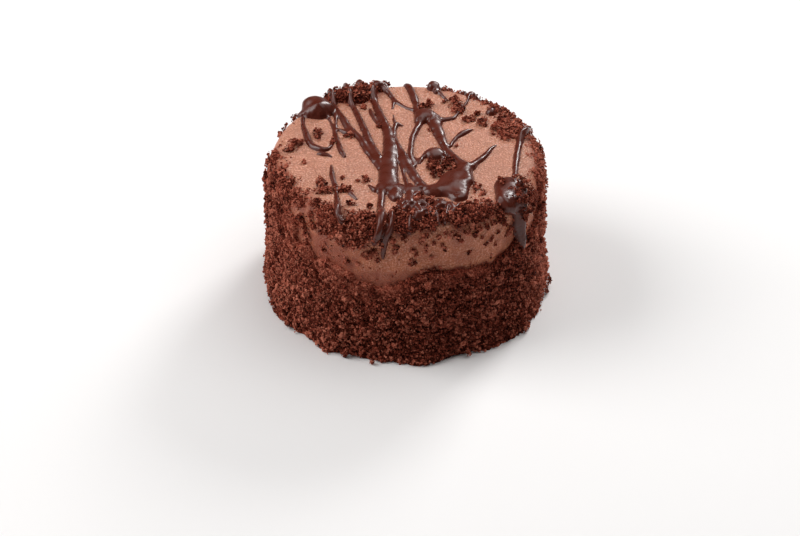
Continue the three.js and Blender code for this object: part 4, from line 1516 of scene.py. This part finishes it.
@dataclass(frozen=True)
class Studio:
    """The table, the lights and the camera, in metres."""

    table: PaleTable = PaleTable()
    table_size: float = 3.0
    camera_place: Place = (-0.0016, -0.38443, 0.27950)
    camera_target: Place = (-0.0016, -0.02489, 0.0200)
    lens: float = 70.0
    sensor: float = 36.0
    sky: str = "ffffff"
    sky_strength: float = 0.06
    lights: tuple[SoftLight, ...] = (
        SoftLight("left_box", (-0.787, 0.027, 0.616), 0.70, 8.9),
        SoftLight("top_box", (0.296, 0.171, 0.940), 0.90, 5.8),
        SoftLight("back_box", (0.444, 0.711, 0.545), 0.28, 5.2),
    )
    lights_target: Place = (0.0, 0.0, 0.02)

    def build(self) -> None:
        """Sets up the table, the lights, the sky and the camera."""
        self.lay_table()
        for light in self.lights:
            self.hang_light(light)
        self.paint_sky()
        self.place_camera()

    def lay_table(self) -> None:
        """Lays the pale table that the cake stands on."""
        shape = bmesh.new()
        bmesh.ops.create_grid(shape, x_segments=1, y_segments=1, size=self.table_size / 2)
        mesh = bpy.data.meshes.new("table_top")
        shape.to_mesh(mesh)
        shape.free()
        mesh.materials.append(self.table.material())
        top = linked("table_top", mesh)

    def hang_light(self, light: SoftLight) -> None:
        """Hangs one soft box, facing the cake."""
        data = bpy.data.lights.new(light.name, "AREA")
        data.energy = light.power
        data.size = light.size
        aim(linked(light.name, data), light.place, self.lights_target)

    def paint_sky(self) -> None:
        """Surrounds the scene with an even soft fill."""
        world = bpy.data.worlds.new("studio")
        bpy.context.scene.world = world
        world.use_nodes = True
        background = world.node_tree.nodes["Background"]
        background.inputs["Color"].default_value = linear(self.sky)
        background.inputs["Strength"].default_value = self.sky_strength
        bpy.context.scene.view_settings.view_transform = "Standard"

    def place_camera(self) -> None:
        """Places the camera above the front edge of the table."""
        data = bpy.data.cameras.new("camera")
        data.lens = self.lens
        data.sensor_width = self.sensor
        camera = linked("camera", data)
        aim(camera, self.camera_place, self.camera_target)
        bpy.context.scene.camera = camera


# ---------------------------------------------------------------------------- the cake


@dataclass(frozen=True)
class MousseCake:
    """The whole dessert."""

    skin: Skin = Skin()
    mousse: SetMousse = SetMousse()
    crumb: CakeCrumb = CakeCrumb()
    ganache: SetGanache = SetGanache()
    top_spread: float = 0.4  # the top's loose crumbs differ more in shade than the side's

    def build(self) -> None:
        """Makes every piece of the cake."""
        coat = Coat(self.skin)
        crumb = self.crumb.material()
        MousseBlock(self.skin, coat).build(self.mousse.material())
        CrumbBed(self.skin, coat).build(crumb)
        self.press_coat(coat, crumb)
        self.strew_top(coat, crumb)
        Drizzle(self.skin, coat).build(self.ganache.material())

    def press_coat(self, coat: Coat, crumb: bpy.types.Material) -> None:
        """Presses crumbs of several sizes onto the side."""
        scatter = Scatter(self.skin, coat, np.random.default_rng(SEED + 1))
        top, foot = self.skin.rim - 0.5, self.skin.foot - 0.3
        middle = (top + foot) / 2
        # A name and a form, then what spread takes: count, belt, sizes, strays and proud.
        kinds = (
            ("side_chunks", CrumbForm.CHUNK, 1500, (top, foot - 0.5), (0.7, 1.3), 0.1, 0.2),
            ("side_lumps", CrumbForm.LUMP, 3000, (top, foot), (0.5, 0.95), 0.3, 0.4),
            ("side_shards_low", CrumbForm.SHARD, 4600, (middle, foot), (0.34, 0.68), 0.6, 0.7),
            ("side_shards_high", CrumbForm.SHARD, 4800, (top, middle), (0.32, 0.66), 0.6, 0.7),
            ("side_grains", CrumbForm.GRAIN, 7200, (top, foot), (0.2, 0.44), 1.0, 1.3),
        )
        for number, (name, form, *how) in enumerate(kinds, 1):
            CrumbBatch(name, form, number).build(scatter.spread(*how), crumb)

    def strew_top(self, coat: Coat, crumb: bpy.types.Material) -> None:
        """Sets the rim's crumbs and the loose clumps on the top and on the bare side."""
        scatter = Scatter(self.skin, coat, np.random.default_rng(SEED + 2))
        draw = np.random.default_rng(SEED + 3)
        clumps = [Clump(*row) for row in TOP_CLUMPS]
        clumps += [self.side_clump(*row) for row in (*SIDE_CLUMPS, *FOOT_CLUMPS)]
        clumps += [self.dark_clump(coat, *row) for row in DARK_CLUMPS]
        belt = (20.0, self.skin.rim)
        # A form, what spread takes besides the belt, and how many fill a square millimetre.
        kinds = (
            (CrumbForm.CHUNK, 520, (0.6, 1.1), 0.1, 0.2, 0.3),
            (CrumbForm.LUMP, 1200, (0.45, 0.85), 0.3, 0.4, 0.5),
            (CrumbForm.SHARD, 4200, (0.28, 0.6), 0.6, 0.9, 2.2),
            (CrumbForm.GRAIN, 5700, (0.16, 0.36), 1.0, 1.4, 3.1),
        )
        for number, (form, count, sizes, strays, proud, filling) in enumerate(kinds, 10):
            spots = [scatter.spread(count, belt, sizes, strays, proud)]
            spots += [clump.spots(self.skin, draw, sizes, filling) for clump in clumps]
            batch = CrumbBatch(f"top_{form.name.lower()}s", form, number, self.top_spread)
            batch.build(gathered(spots), crumb)

    def side_clump(
        self, angle: float, height: float, across: float, along: float, base: float = 0.0
    ) -> Clump:
        """Gives one clump that sticks to the side, base millimetres off the mousse."""
        x, y = self.skin.beside(angle, height)
        return Clump(x, y, across, along, 0.6 + 0.2 * base, 0.42, base)

    def dark_clump(
        self, coat: Coat, angle: float, height: float, across: float, along: float
    ) -> Clump:
        """Gives one knot of crumbs painted near black, partly a painted shade for a hollow, that sits
        in the top of the coat.
        """
        x, y = self.skin.beside(angle, height)
        base = 0.25 + float(coat.layer(np.array([[x, y]]))[0])
        return Clump(x, y, across, along, 0.4, -0.2, base)


def main() -> None:
    """Builds the cake and its studio."""
    logging.basicConfig(level=logging.INFO, format="%(name)s: %(message)s")
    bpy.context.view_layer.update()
    MousseCake().build()
    Studio().build()
    bpy.context.view_layer.update()


if __name__ == "__main__":
    main()
